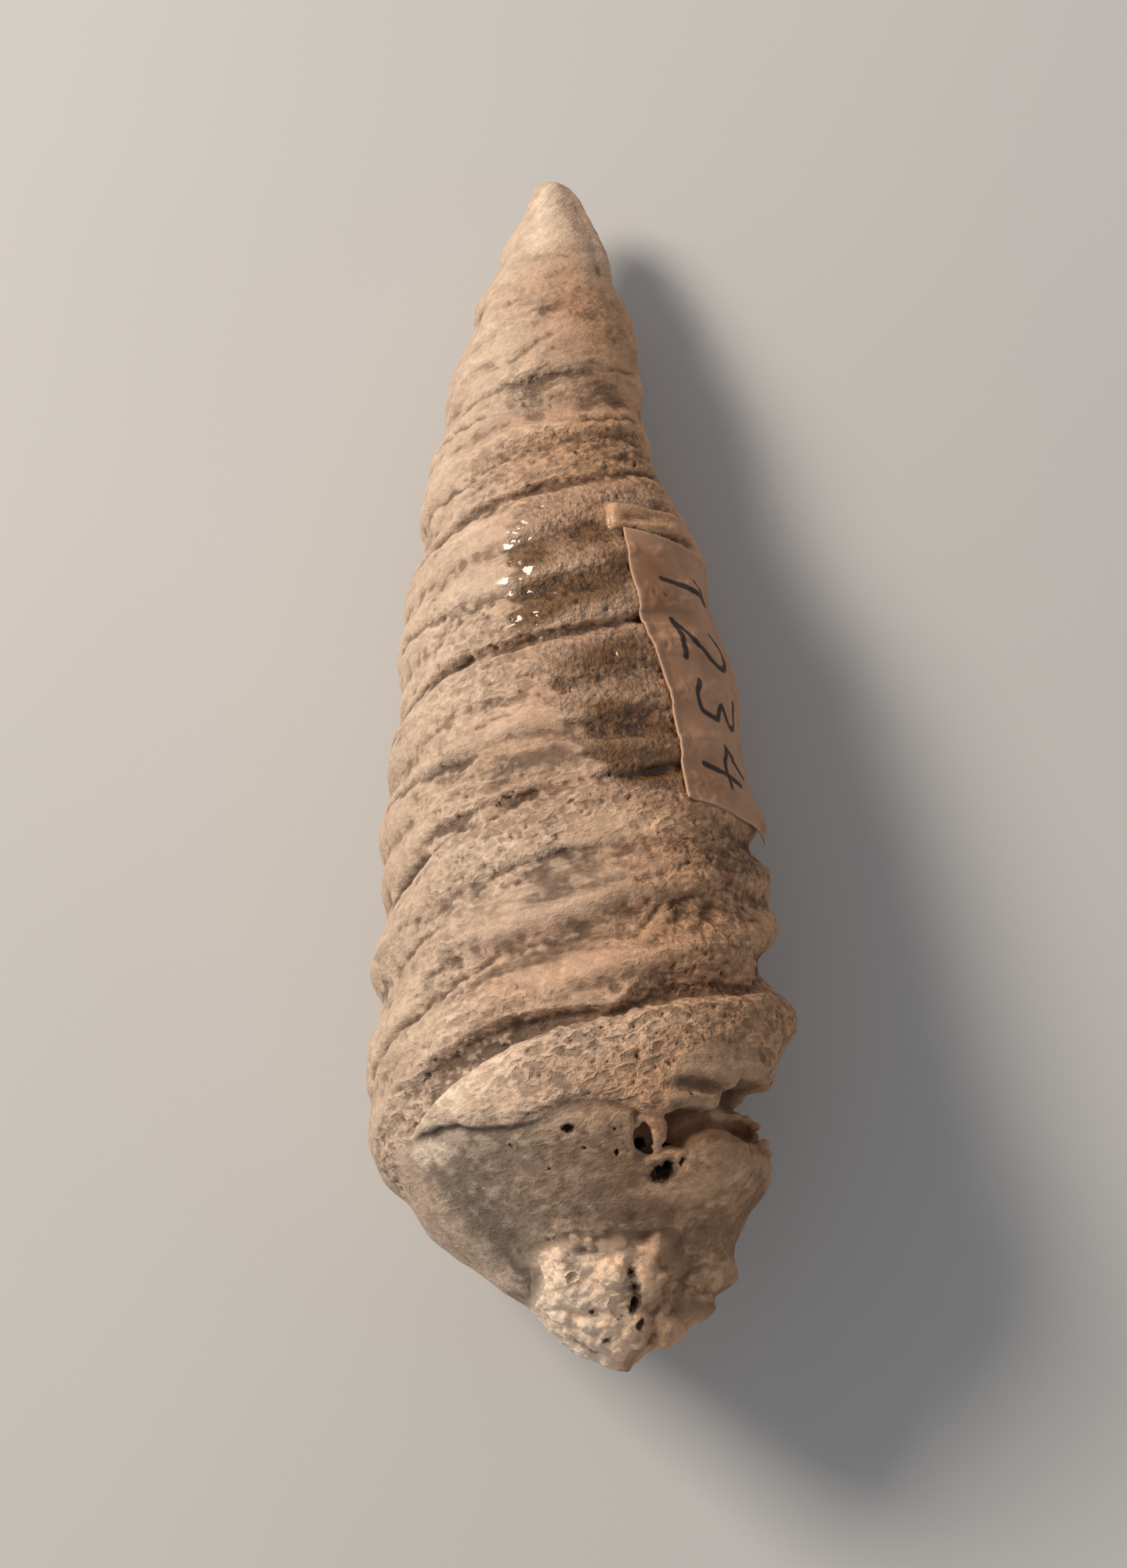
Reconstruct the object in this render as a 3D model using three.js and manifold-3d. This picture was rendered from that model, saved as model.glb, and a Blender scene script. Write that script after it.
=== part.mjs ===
// A fossil turret snail shell lying on its side, with a slip of paper glued to it.
// Millimetres, +Z up. The apex points along +Y, and the object rests on a worn flat under its ribs.
//
// A point on the shell is given by two numbers: its distance from the apex along the shell's axis,
// and its angle round that axis, which is 0 at the top of the shell and grows toward +X.
// The ribs and grooves climb round the axis, so they are laid out in turns of the coil.

import * as THREE from 'three';
import { mergeVertices } from 'three/addons/utils/BufferGeometryUtils.js';
import Module from 'manifold-3d';

const DEGREE = Math.PI / 180;
const FULL_TURN = 2 * Math.PI;

// Driving dimensions, mm

const LENGTH = 79;                    // along the shell's axis
const AXIS_TILT = 6.5 * DEGREE;       // the axis dips toward the thin end
const FLAT_DEPTH = 0.5;               // how far the underside is worn away

// [distance from the apex, radius over the ribs]
const OUTLINE = [
  [0, 0], [0.25, 0.9], [1, 1.35], [3, 2.15], [6, 3.45], [9, 4.75], [13, 5.6], [18, 6.45],
  [23, 7.85], [28, 9.2], [33, 10.15], [38, 10.85], [43, 11.45], [48, 11.9], [53, 12.4], [58, 12.9],
  [62, 13.4], [66, 13.3], [69, 11.4], [72, 8.4], [75, 5.2], [78, 2.2], [LENGTH, 0],
];

// [turn of the coil, distance from the apex where its seam crosses the top of the shell]
const COIL = [
  [1, 0], [2, 4.6], [3, 10.4], [4, 16.7], [5, 25.1], [6, 35.5], [7, 45.4], [8, 59.7],
  [8.35, 65.2], [9, 71], [10, LENGTH],
];

// [distance from the apex, how far the axis has bent sideways]
const BEND = [[0, 0.55], [6, 0.3], [12, 0], [60, 0.1], [70, 0.5], [LENGTH, 1.1]];

// Grooves of one turn: place below the seam and half-width as parts of a turn, depth on a large whorl
const GROOVES = [
  { place: 0, halfWidth: 0.08, depth: 1.0 },
  { place: 0.34, halfWidth: 0.06, depth: 0.4 },
  { place: 0.69, halfWidth: 0.08, depth: 0.6 },
];
const LARGE_WHORL = 12;               // radius of a whorl whose grooves have their full depth
const WORN_SMOOTH = [7, 22];          // grooves appear over this stretch of the worn apex
const LAST_GROOVE = [8.15, 8.28];     // turns over which the grooves end at the base
const WIDE_SEAM = [7.5, 7.95];        // turns over which the last seam deepens
const WIDE_SEAM_GAIN = 0.6;

// [angle in degrees, distance from the apex] of the broken lower edge of the last rib
const LIP_EDGE = [
  [-180, 65.4], [-60, 66.2], [-35, 66.2], [-18, 66], [0, 64.7], [25, 64.5], [60, 63.8],
  [110, 63.6], [180, 65.4],
];

// The stone core stands back from the broken rib between the outer two of these angles
const BARE_CORE = { step: 0.9, angles: [-52, -36, 120, 160], meetsWall: [70, 76] };

// The gap under the torn lip, between it and the stone that fills the mouth
const MOUTH_GAP = { width: 1.9, depth: 3.6, angles: [12, 48, 118, 160] };

// Swellings and hollows of the base: place, spread along the axis and round it, height
const SWELLINGS = [
  { distance: 75, angle: -2, along: 3.6, round: 38, height: 1.1 },      // pebbly crust
  { distance: 68.2, angle: 88, along: 2.6, round: 44, height: -2 },     // hollow in the mouth stone
  { distance: 70.5, angle: 42, along: 2.6, round: 20, height: 0.9 },    // its cheek
  { distance: 75.4, angle: 92, along: 2.2, round: 38, height: 2.1 },    // its outer edge
];

// Holes that open on the base: place, and half-sizes across, along the axis and inward
const HOLES = [
  { distance: 67.9, angle: 15, half: [0.8, 1.0, 2.6] },                 // in the mouth
  { distance: 69.3, angle: 21.5, half: [1.0, 0.6, 2.2] },               // lower in the mouth
  { distance: 75, angle: 21, half: [0.45, 1.1, 1.6] },                  // in the crust
  { distance: 67.1, angle: -6, half: [0.45, 0.4, 0.9] },                // pit in the core
];

const LABEL = {
  length: 18.6,                       // along the shell
  width: 8.9,                         // round the shell
  thickness: 0.3,
  gap: 0.3,                           // glue between the paper and the ribs
  start: 27.8,                        // distance of its upper edge from the apex
  leftAngles: [26.5, 36.5],           // angle of its left edge at the upper and the lower end
  cornerLift: 0.9,                    // its lower outer corner has come loose
};

const SPARE_WALL = 2.5;               // extra wall past the lip, all of it cut away again

// Mesh fineness
const ROWS_PER_TURN = 12;
const COLUMNS = 36;
const CORE_ROWS = 12;
const LABEL_ROWS = 12;
const LABEL_COLUMNS = 6;

const SHELL_MATERIAL = new THREE.MeshStandardMaterial({ color: 0xb49c86, roughness: 0.92, metalness: 0 });
const LABEL_MATERIAL = new THREE.MeshStandardMaterial({ color: 0xc0a088, roughness: 0.85, metalness: 0 });

// A smooth curve through a table of [x, y] rows, with no overshoot between them
function curveThrough(rows) {
  const last = rows.length - 1;
  const slopes = rows.slice(1).map(([x, y], i) => (y - rows[i][1]) / (x - rows[i][0]));
  const tangents = rows.map((_, i) => {
    if (i === 0 || i === last) return slopes[Math.min(i, last - 1)];
    const product = slopes[i - 1] * slopes[i];
    return product > 0 ? 2 * product / (slopes[i - 1] + slopes[i]) : 0;
  });
  return (x) => {
    const inside = THREE.MathUtils.clamp(x, rows[0][0], rows[last][0]);
    const i = Math.max(0, Math.min(last - 1, rows.findIndex((row) => row[0] >= inside) - 1));
    const step = rows[i + 1][0] - rows[i][0];
    const t = (inside - rows[i][0]) / step;
    const rise = t * t * (3 - 2 * t);
    return rows[i][1] * (1 - rise) + rows[i + 1][1] * rise
      + step * t * (1 - t) * (tangents[i] * (1 - t) - tangents[i + 1] * t);
  };
}

const outlineAt = curveThrough(OUTLINE);
const distanceAtTurn = curveThrough(COIL);
const turnAtDistance = curveThrough(COIL.map(([turn, distance]) => [distance, turn]));
const bendAt = curveThrough(BEND);
const lipEdgeAt = curveThrough(LIP_EDGE);

const ramp = (x, from, to) => THREE.MathUtils.smoothstep(x, from, to);
const plateau = (x, [a, b, c, d]) => ramp(x, a, b) * (1 - ramp(x, c, d));
const bell = (x) => Math.exp(-x * x);

// A point given by its distance from the apex, its angle and its distance from the axis
function shellPoint(distance, angle, radius) {
  const point = new THREE.Vector3(Math.sin(angle) * radius, -distance, Math.cos(angle) * radius);
  point.applyAxisAngle(new THREE.Vector3(1, 0, 0), -AXIS_TILT);
  point.x += bendAt(distance);
  return point;
}

// How far the surface lies below the ribs at one place of the coil
function grooveDepth(coil, distance) {
  const place = coil - Math.floor(coil);
  const depths = GROOVES.map((groove) => {
    const away = Math.abs(place - groove.place);
    const wide = groove.place === 0 ? 1 + WIDE_SEAM_GAIN * ramp(coil, ...WIDE_SEAM) : 1;
    return wide * groove.depth * bell(Math.min(away, 1 - away) / (groove.halfWidth * wide));
  });
  const fade = ramp(distance, ...WORN_SMOOTH) * (1 - ramp(coil, ...LAST_GROOVE));
  return fade * Math.max(...depths) * outlineAt(distance) / LARGE_WHORL;
}

// Past the lip the wall is drawn too large here, and brokenAway then cuts it back to the core
function wallRadius(distance, angle) {
  const coil = turnAtDistance(distance) + angle / FULL_TURN;
  const spare = SPARE_WALL * ramp(distance - lipEdgeAt(angle / DEGREE), 0, 2 * SPARE_WALL);
  return outlineAt(distance) - grooveDepth(coil, distance) + spare * ramp(LENGTH - distance, 0, 1);
}

// The stone core of the base, with the crust and the stone that fills the mouth
function coreRadius(distance, angle) {
  const degrees = angle / DEGREE;
  const pastLip = distance - lipEdgeAt(degrees);
  const bare = plateau(degrees, BARE_CORE.angles) * (1 - ramp(distance, ...BARE_CORE.meetsWall));
  const gap = MOUTH_GAP.depth * plateau(degrees, MOUTH_GAP.angles)
    * (1 - ramp(pastLip, MOUTH_GAP.width - 0.1, MOUTH_GAP.width + 0.4));
  const swelling = SWELLINGS.reduce((sum, { distance: centre, angle: side, along, round, height }) => (
    sum + height * bell((distance - centre) / along) * bell((degrees - side) / round)), 0);
  const outline = outlineAt(distance);
  return outline + ramp(outline, 0, 3) * (swelling - gap - BARE_CORE.step * bare);
}

// Triangles of a closed skin as one solid: doubled points are joined and empty triangles dropped
function solidOf(wasm, geometry) {
  const plain = geometry.clone();
  plain.deleteAttribute('normal');
  plain.deleteAttribute('uv');
  const merged = mergeVertices(plain, 1e-4);
  const corners = merged.index.array;
  const kept = [];
  for (let i = 0; i < corners.length; i += 3) {
    const [a, b, c] = corners.slice(i, i + 3);
    if (a !== b && b !== c && c !== a) kept.push(a, b, c);
  }
  return new wasm.Manifold(new wasm.Mesh({
    numProp: 3,
    vertProperties: merged.attributes.position.array,
    triVerts: new Uint32Array(kept),
  }));
}

function geometryOf(points, quads) {
  const geometry = new THREE.BufferGeometry().setFromPoints(points);
  geometry.setIndex(quads.flatMap(([a, b, c, d]) => [a, b, c, a, c, d]));
  return geometry;
}

// A closed skin from rows of points round the axis, from one end on the axis to the other. The last
// point of a row meets the first point of the row that lies turnRows before it.
function roundSkin(wasm, rows, turnRows = 0) {
  const columns = rows[0].length;
  const at = (row, column) => (column < columns
    ? row * columns + column
    : Math.max(row - turnRows, 0) * columns);
  const quads = [];
  for (let row = 0; row + 1 < rows.length; row++) {
    for (let column = 0; column < columns; column++) {
      quads.push([at(row, column), at(row + 1, column), at(row + 1, column + 1), at(row, column + 1)]);
    }
  }
  return solidOf(wasm, geometryOf(rows.flat(), quads));
}

const roundPoints = (pointAt) => Array.from({ length: COLUMNS }, (_, i) => pointAt(i / COLUMNS - 0.5));

// The wall of the shell. Its rows of points follow the coil, so they run along ribs and grooves.
function coiledWall(wasm) {
  const [firstTurn] = COIL[0];
  const [lastTurn] = COIL[COIL.length - 1];
  const count = (lastTurn - firstTurn + 1) * ROWS_PER_TURN + 1;
  const rows = Array.from({ length: count }, (_, row) => roundPoints((around) => {
    const distance = distanceAtTurn(firstTurn - 0.5 + row / ROWS_PER_TURN - around);
    const angle = around * FULL_TURN;
    return shellPoint(distance, angle, wallRadius(distance, angle));
  }));
  return roundSkin(wasm, rows, ROWS_PER_TURN);
}

// All the space round the stone core past the lip, to be cut from the wall
function brokenAway(wasm) {
  const far = { radius: 40, distance: LENGTH + 20 };
  const lip = (around) => lipEdgeAt(around * FULL_TURN / DEGREE);
  const ring = (distanceOf, radiusOf) => roundPoints((around) => {
    const angle = around * FULL_TURN;
    const distance = distanceOf(around);
    return shellPoint(distance, angle, radiusOf(distance, angle));
  });
  const { width } = MOUTH_GAP;
  const gapRows = [0, width - 0.1, width + 0.15, width + 0.4].map((past) => (
    ring((around) => lip(around) + past, coreRadius)));
  const baseRows = Array.from({ length: CORE_ROWS }, (_, i) => (
    ring((around) => THREE.MathUtils.lerp(lip(around) + width + 0.4, LENGTH, (i + 1) / CORE_ROWS),
      coreRadius)));
  const rows = [...baseRows.reverse(), ...gapRows.reverse(),
    ring(lip, () => far.radius), ring(() => far.distance, () => far.radius),
    ring(() => far.distance, () => 0)];
  return roundSkin(wasm, rows);
}

function holeSolid(wasm, hole) {
  const angle = hole.angle * DEGREE;
  const centre = shellPoint(hole.distance, angle, coreRadius(hole.distance, angle));
  const geometry = new THREE.SphereGeometry(1, 10, 8).scale(...hole.half);
  geometry.rotateX(-AXIS_TILT).rotateY(angle).translate(...centre);
  return solidOf(wasm, geometry);
}

// A block whose top is the flat that the underside has been worn to
function wornOff(wasm, height) {
  const [wide, long, thick] = [80, 4 * LENGTH, 20];
  return solidOf(wasm, new THREE.BoxGeometry(wide, long, thick).translate(0, 0, height - thick / 2));
}

function meshOf(name, solid, material) {
  const { vertProperties, triVerts } = solid.getMesh();
  const geometry = new THREE.BufferGeometry();
  geometry.setAttribute('position', new THREE.BufferAttribute(vertProperties, 3));
  geometry.setIndex(new THREE.BufferAttribute(triVerts, 1));
  geometry.computeVertexNormals();
  const mesh = new THREE.Mesh(geometry, material);
  mesh.name = name;
  return mesh;
}

function fossilShell(wasm) {
  const broken = coiledWall(wasm).subtract(brokenAway(wasm));
  const holed = HOLES.reduce((solid, hole) => solid.subtract(holeSolid(wasm, hole)), broken);
  const lowest = holed.boundingBox().min[2];
  return meshOf('fossil_shell', holed.subtract(wornOff(wasm, lowest + FLAT_DEPTH)), SHELL_MATERIAL);
}

// The slip of paper: a thin plate bent over the ribs, with one corner loose
function paperLabel(wasm) {
  const points = [];
  for (const height of [LABEL.gap, LABEL.gap + LABEL.thickness]) {
    for (let row = 0; row <= LABEL_ROWS; row++) {
      for (let column = 0; column <= LABEL_COLUMNS; column++) {
        const [down, across] = [row / LABEL_ROWS, column / LABEL_COLUMNS];
        const distance = LABEL.start + LABEL.length * down;
        const radius = outlineAt(distance);
        const left = THREE.MathUtils.lerp(...LABEL.leftAngles, down) * DEGREE;
        const angle = left + LABEL.width * across / radius;
        const lift = LABEL.cornerLift * ramp(down + across, 1.55, 2);
        points.push(shellPoint(distance, angle, radius + height + lift));
      }
    }
  }
  const upper = points.length / 2;
  const at = (row, column) => row * (LABEL_COLUMNS + 1) + column;
  const quads = [];
  for (let row = 0; row < LABEL_ROWS; row++) {
    for (let column = 0; column < LABEL_COLUMNS; column++) {
      const face = [at(row, column), at(row, column + 1), at(row + 1, column + 1), at(row + 1, column)];
      quads.push(face, face.map((corner) => corner + upper).reverse());
    }
  }
  const edge = [];
  for (let row = 0; row < LABEL_ROWS; row++) edge.push(at(row, 0));
  for (let column = 0; column < LABEL_COLUMNS; column++) edge.push(at(LABEL_ROWS, column));
  for (let row = LABEL_ROWS; row > 0; row--) edge.push(at(row, LABEL_COLUMNS));
  for (let column = LABEL_COLUMNS; column > 0; column--) edge.push(at(0, column));
  edge.forEach((corner, i) => {
    const next = edge[(i + 1) % edge.length];
    quads.push([corner, next, next + upper, corner + upper]);
  });
  return meshOf('paper_label', solidOf(wasm, geometryOf(points, quads)), LABEL_MATERIAL);
}

const wasm = await Module();
wasm.setup();

const fossil = new THREE.Group();
fossil.add(fossilShell(wasm), paperLabel(wasm));

// The origin lies under the middle of the object, on the surface that it rests on
const box = new THREE.Box3().setFromObject(fossil);
const middle = box.getCenter(new THREE.Vector3());
fossil.position.set(-middle.x, -middle.y, -box.min.z);

export default fossil;
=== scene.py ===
import math

import bmesh
import bpy
import numpy as np
from bpy.props import FloatProperty, FloatVectorProperty, IntProperty, PointerProperty
from mathutils import Matrix, Vector, noise


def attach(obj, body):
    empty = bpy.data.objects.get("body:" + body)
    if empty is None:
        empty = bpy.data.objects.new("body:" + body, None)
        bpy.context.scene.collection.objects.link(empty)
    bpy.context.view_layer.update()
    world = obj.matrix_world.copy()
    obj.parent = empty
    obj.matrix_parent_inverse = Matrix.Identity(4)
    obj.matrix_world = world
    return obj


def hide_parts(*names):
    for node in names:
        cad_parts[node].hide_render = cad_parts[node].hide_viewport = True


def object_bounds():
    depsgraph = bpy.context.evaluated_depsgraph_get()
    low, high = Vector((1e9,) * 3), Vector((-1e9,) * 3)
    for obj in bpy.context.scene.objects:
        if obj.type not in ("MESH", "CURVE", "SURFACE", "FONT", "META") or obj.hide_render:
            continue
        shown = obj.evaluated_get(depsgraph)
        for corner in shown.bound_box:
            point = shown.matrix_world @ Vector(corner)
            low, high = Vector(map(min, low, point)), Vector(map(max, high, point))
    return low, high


bl_info = {
    "name": "Fossil turret snail",
    "version": (1, 0, 0),
    "blender": (4, 5, 0),
    "location": "3D View > Sidebar > Fossil",
    "description": "A fossil turret snail with a paper label, its floor, light and camera",
    "category": "Add Mesh",
}

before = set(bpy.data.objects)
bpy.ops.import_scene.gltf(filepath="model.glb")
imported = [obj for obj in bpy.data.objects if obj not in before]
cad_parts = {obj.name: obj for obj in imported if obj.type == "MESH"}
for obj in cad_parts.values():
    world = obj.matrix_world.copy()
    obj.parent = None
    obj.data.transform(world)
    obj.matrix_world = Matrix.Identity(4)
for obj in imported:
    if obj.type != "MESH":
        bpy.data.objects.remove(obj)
CAD_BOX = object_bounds()

# A place on the shell is given by its distance from the apex along the axis, in millimetres, and by
# its angle round the axis, in degrees: 0 at the top of the shell, growing toward +X.

MM = 0.001
TINY = 1e-9
LENGTH = 79.0
AXIS_TILT = math.radians(6.5)

# [distance, radius over the ribs]
OUTLINE = [
    (0, 0), (0.25, 0.95), (1, 1.5), (3, 2.35), (6, 3.55), (9, 4.8), (13, 5.95), (18, 6.85),
    (23, 8.2), (28, 9.5), (33, 10.45), (38, 11.1), (43, 11.75), (48, 12.2), (53, 12.8),
    (58, 13.25), (62, 13.55), (66, 13.3), (69, 11.5), (72, 8.5), (75, 5.3), (78, 2.3), (LENGTH, 0)]

# [distance, how far the axis has bent sideways]
BEND = [
    (0, 0.8), (5, 0.7), (8, 0.3), (14, 0), (21, -0.3), (26, 0.05), (60, 0.1), (70, 0.5),
    (LENGTH, 1.1)]

# [distance, turns of the coil up to the top of the shell]
COIL = [
    (0, 1), (4.6, 2), (10.2, 3), (16.5, 4), (24.8, 5), (35.2, 6), (45.5, 7), (59.7, 8),
    (65.2, 8.35), (71, 9), (LENGTH, 10)]

# [angle, how far the grooves are dragged along the axis]
SKEW = [
    (-180, 0), (-120, 0.3), (-88, 0.6), (-65, 0.9), (-50, 0.5), (-37, 0.05), (0, 0), (30, -0.3),
    (60, -0.6), (90, -0.8), (120, -0.6), (180, 0)]

# The three grooves between the ribs: the section over one turn of the coil, and the depth in
# millimetres by distance
GROOVES = {
    "seam": (
        [(0, 1), (0.03, 0.92), (0.055, 0.5), (0.085, 0.27), (0.15, 0.12), (0.22, 0), (0.86, 0),
         (0.94, 0.12), (0.975, 0.25), (0.988, 0.55), (1, 1)],
        [(0, 0), (9, 0.06), (13, 0.2), (16, 0.45), (19, 0.35), (22, 0.5), (25, 0.85),
         (28, 0.8), (31, 0.75), (34, 1.0), (38, 1.1), (42, 0.75), (45.5, 0.7), (49, 0.9),
         (53, 1.1), (66, 1)]),
    "upper": (
        [(0, 0), (0.22, 0), (0.3, 0.3), (0.35, 0.85), (0.38, 1), (0.42, 0.7), (0.48, 0.18),
         (0.54, 0), (1, 0)],
        [(0, 0), (12, 0.1), (18, 0.25), (25, 0.25), (31, 0.45), (40, 0.3), (43, 0.45), (47, 0.5),
         (50, 0.45), (55, 0.8), (66, 0.6)]),
    "lower": (
        [(0, 0), (0.55, 0), (0.61, 0.2), (0.66, 0.85), (0.7, 1), (0.76, 0.8), (0.82, 0.2),
         (0.87, 0), (1, 0)],
        [(0, 0), (12, 0.1), (18, 0.3), (22, 0.45), (26, 0.35), (32, 0.55), (35, 0.65), (39, 0.45),
         (44, 0.65), (48, 0.5), (53, 0.75), (57, 0.8), (62, 0.7), (66, 0.5)]),
}

# Where the grooves are worn away: distance, angle, spread along the axis and round it, share
WORN = [
    (15.0, 26, 1.5, 30, 1.0), (24.3, 45, 1.6, 26, 0.7), (22.2, 30, 1.2, 24, 0.7),
    (48.5, 40, 1.3, 24, 0.6), (45.6, 8, 0.8, 12, 0.7), (42.6, -20, 1.2, 16, 0.5),
]

# The trough of the last seam: angle, distance of its upper and lower edge, how soft the upper edge
# is, depth
LAST_SEAM = [
    (-110, 67.6, 69.6, 0.4, 0), (-90, 66.3, 68.8, 0.4, 0.5), (-75, 65.2, 67.8, 0.4, 0.7),
    (-60, 63.0, 66.2, 0.4, 0.85), (-45, 61.8, 64.9, 0.3, 0.95), (-36, 61.1, 63.6, 0.2, 1.1),
    (-25, 60.4, 62.4, 0.15, 1.3), (-12, 60.1, 61.4, 0.15, 1.3), (-3, 59.9, 60.9, 0.15, 1.1),
    (7, 60.0, 60.7, 0.2, 0.8), (15, 58.4, 60.2, 0.8, 1.0), (25, 57.3, 59.6, 0.8, 1.1),
    (40, 56.6, 58.9, 0.8, 0.7), (60, 55.4, 57.8, 0.7, 0.75), (80, 53.9, 56.6, 0.6, 1.6),
    (110, 53, 55.3, 0.5, 1.3), (160, 51, 52.6, 0.5, 0)]
BELT_HEIGHT = 0.4                      # how far the last rib stands out below the trough

# The ribs as the left and the right flank show them: distance, height over the outline
LEFT_FLANK = [
    (0, 0), (2, -0.45), (5, 0), (7, -0.35), (9, -0.1), (10.5, -0.55), (12, -0.4), (14, 0.1),
    (15.5, 0.15), (18, -0.2), (20, 0.2), (21.2, 0), (22.6, 0.2), (23.6, 0.2), (25, -0.35),
    (26.7, -0.55), (28, -0.05), (30, 0), (31, -0.3), (32.6, 0.1), (33.6, 0), (35.5, -0.55),
    (36.3, -0.4), (37.4, -0.55), (39, -0.05), (41, -0.1), (42.4, -0.4), (44, 0), (45.5, 0.15),
    (47, -0.3), (48, -0.05), (50, -0.7), (52, -0.3), (53.8, 0.1), (55.8, -0.8), (57, -0.65),
    (59, -0.05), (61, -0.1), (62, -0.3), (64.5, 0.1), (66, -0.1), (68, -0.3)]
RIGHT_FLANK = [
    (0, 0), (1.2, 0.3), (6, 0.5), (8, 0.1), (10, 0.35), (12, 0.25), (13.3, -0.05), (15.2, 0),
    (17, -0.5), (19, -0.3), (20.8, -0.65), (23.5, -0.3), (27.5, 0.1), (29, -0.35), (31.3, -0.6),
    (34.5, -0.1), (37, 0.05), (39, -0.3), (41, -0.5), (44, -0.25), (45.6, -0.15), (46.8, -0.95),
    (47.8, -0.4), (48.6, 0.15), (50.9, -0.5), (51.5, 0), (52.2, 0), (53.2, -0.6), (54.3, -1.75),
    (54.9, -1.75), (57.2, -0.1), (57.7, 0.15), (58.6, 0.1), (59.6, -0.6), (60.9, -1.5), (62.3, -2.2),
    (64, -2.9)]

# [angle, distance that the ribs of the left flank have moved]
FLANK_PATH = [
    (-180, -2.4), (-150, -1.8), (-120, -0.9), (-88, 0), (-66, 0.3), (-58, 0.75), (-50, 1.1),
    (-38, 1.95), (-25, 2.6), (180, 2.6)]

# [angle, distance] of the broken edges of the last rib: its outer and its inner layer
OUTER_EDGE = [
    (-180, 64), (-120, 65), (-60, 66), (-50, 66.1), (-40, 66), (-30, 66.5), (-20, 66.6),
    (-10, 66.1), (0, 65.4), (10, 64.8), (18, 64.1), (24, 63.1), (32, 61.9), (40, 61.5),
    (44, 61.1), (46, 61.6), (50, 61.9), (53.5, 62.5), (55, 63.7), (61, 63.8), (66, 62.9), (80, 61.7),
    (110, 60.7), (140, 61.5), (180, 64)]
INNER_EDGE = [
    (-180, 64), (-120, 65), (-60, 66), (-50, 66.1), (-40, 66), (-30, 66.5), (-20, 66.6),
    (-10, 66.1), (0, 65.4), (10, 65.8), (15, 66.3), (20, 66.3), (28, 65.9), (33, 65.9),
    (36.5, 65.4), (38, 64.7), (42, 64.5), (43.5, 63.9), (52, 63.7), (57, 63.85), (60, 63.75), (66, 62.8),
    (80, 61.8), (110, 60.7), (140, 61.5), (180, 64)]
LAYER = 0.18                           # thickness of the outer layer
CORE_STEP = 0.55                       # how far the core lies below the last rib

# The gap between the last rib and the cheek of stone in the mouth: angle, distance of the top of
# the cheek, depth of the gap
MOUTH = [
    (-180, 66, 0), (10.5, 67.6, 0), (12.5, 67.8, 1.5), (17, 68.1, 1.8), (20, 68.2, 1.7),
    (24, 67.9, 1.5), (26.7, 67.9, 1.2), (29, 67.4, 1.0), (32.4, 67.0, 0.9), (36, 66.75, 0.85),
    (40.4, 66.75, 0.9), (46, 66.95, 1.1), (52, 67.0, 1.3), (62, 66.7, 1.4), (75, 66.4, 1.9),
    (90, 66.3, 2.2), (110, 66.2, 2.3), (130, 65.5, 2), (165, 65, 0), (180, 65, 0)]

# Swellings and hollows of the stone in the mouth: distance, angle, spread along the axis and round
# it, height
STONE_FORMS = [
    (69.4, 44, 2.0, 22, 0.75),         # cheek
    (65.8, 54, 0.4, 12, 0.5),          # ear behind it, with a hollow
    (66.4, 54, 0.3, 5, -0.45),
    (64.6, 57, 0.5, 10, -0.8),
    (63.9, 92, 0.9, 34, -2.2),
    (67.0, 92, 1.1, 30, -1.3),         # waist below it
    (69.5, 90, 1.5, 30, -0.9),
    (74.0, 92, 1.4, 36, 1.7),          # outer edge
    (76.2, 80, 1.0, 32, 2.1),
    (74.0, 98, 0.5, 11, 0.3),          # sharp corner on it
    (77.9, 70, 0.5, 30, 1.5),
    (68.2, -98, 1.5, 34, -0.5),        # left flank of the base
    (71, -95, 1.2, 30, 0.2),
    (75.2, -95, 0.7, 30, -0.45),
]

# Swellings and hollows of the wall: the same, with a slope in millimetres for each degree
WALL_FORMS = [
    (64.7, 31, 0.5, 8.5, -0.6, 0.01),   # oval hollow of the inner layer
    (7.2, -6, 0.6, 30, -0.3, -0.01),   # chips and folds near the apex
    (5.9, -4, 0.5, 22, 0.2, 0),
    (10.3, 0, 0.22, 32, 0.15, -0.025),
    (11.3, 6, 0.6, 18, -0.25, -0.03),
    (8.6, 14, 0.8, 16, -0.15, -0.03),
    (14.2, -7, 0.3, 15, -0.22, -0.06),
    (12.4, -16, 0.7, 14, 0.15, -0.06),
    (17.2, -6, 0.9, 13, -0.25, -0.02),
    (16.6, -22, 0.5, 16, 0.2, -0.04),
    (18.7, -5, 1.2, 9, -0.3, 0),       # worn patches
    (20.5, 2, 0.4, 17, 0.35, -0.012),
    (17.4, 36, 1.3, 20, -0.3, -0.01),
    (43.9, -8, 0.7, 14, -0.3, -0.03),
    (50.1, -2, 0.3, 2.6, -0.3, 0),
    (51.5, -5, 0.8, 11, -0.18, -0.03),
    (55.7, -2, 0.9, 12, -0.25, -0.05),
    (58.8, 9.5, 0.25, 1.6, -0.35, 0),
    (59.1, -47, 0.8, 8, -0.25, -0.05),
    (57.9, 24, 0.8, 10, -0.25, -0.03),
    (46.4, 4, 0.35, 5, 0.25, -0.02),   # bridge across the seam
    (47.0, -28, 0.4, 4, 0.35, -0.04),
    (57.5, 8, 0.45, 26, 0.2, -0.06),   # ridge above the last seam
    (53.6, -5, 0.5, 30, 0.2, -0.05),
]

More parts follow.
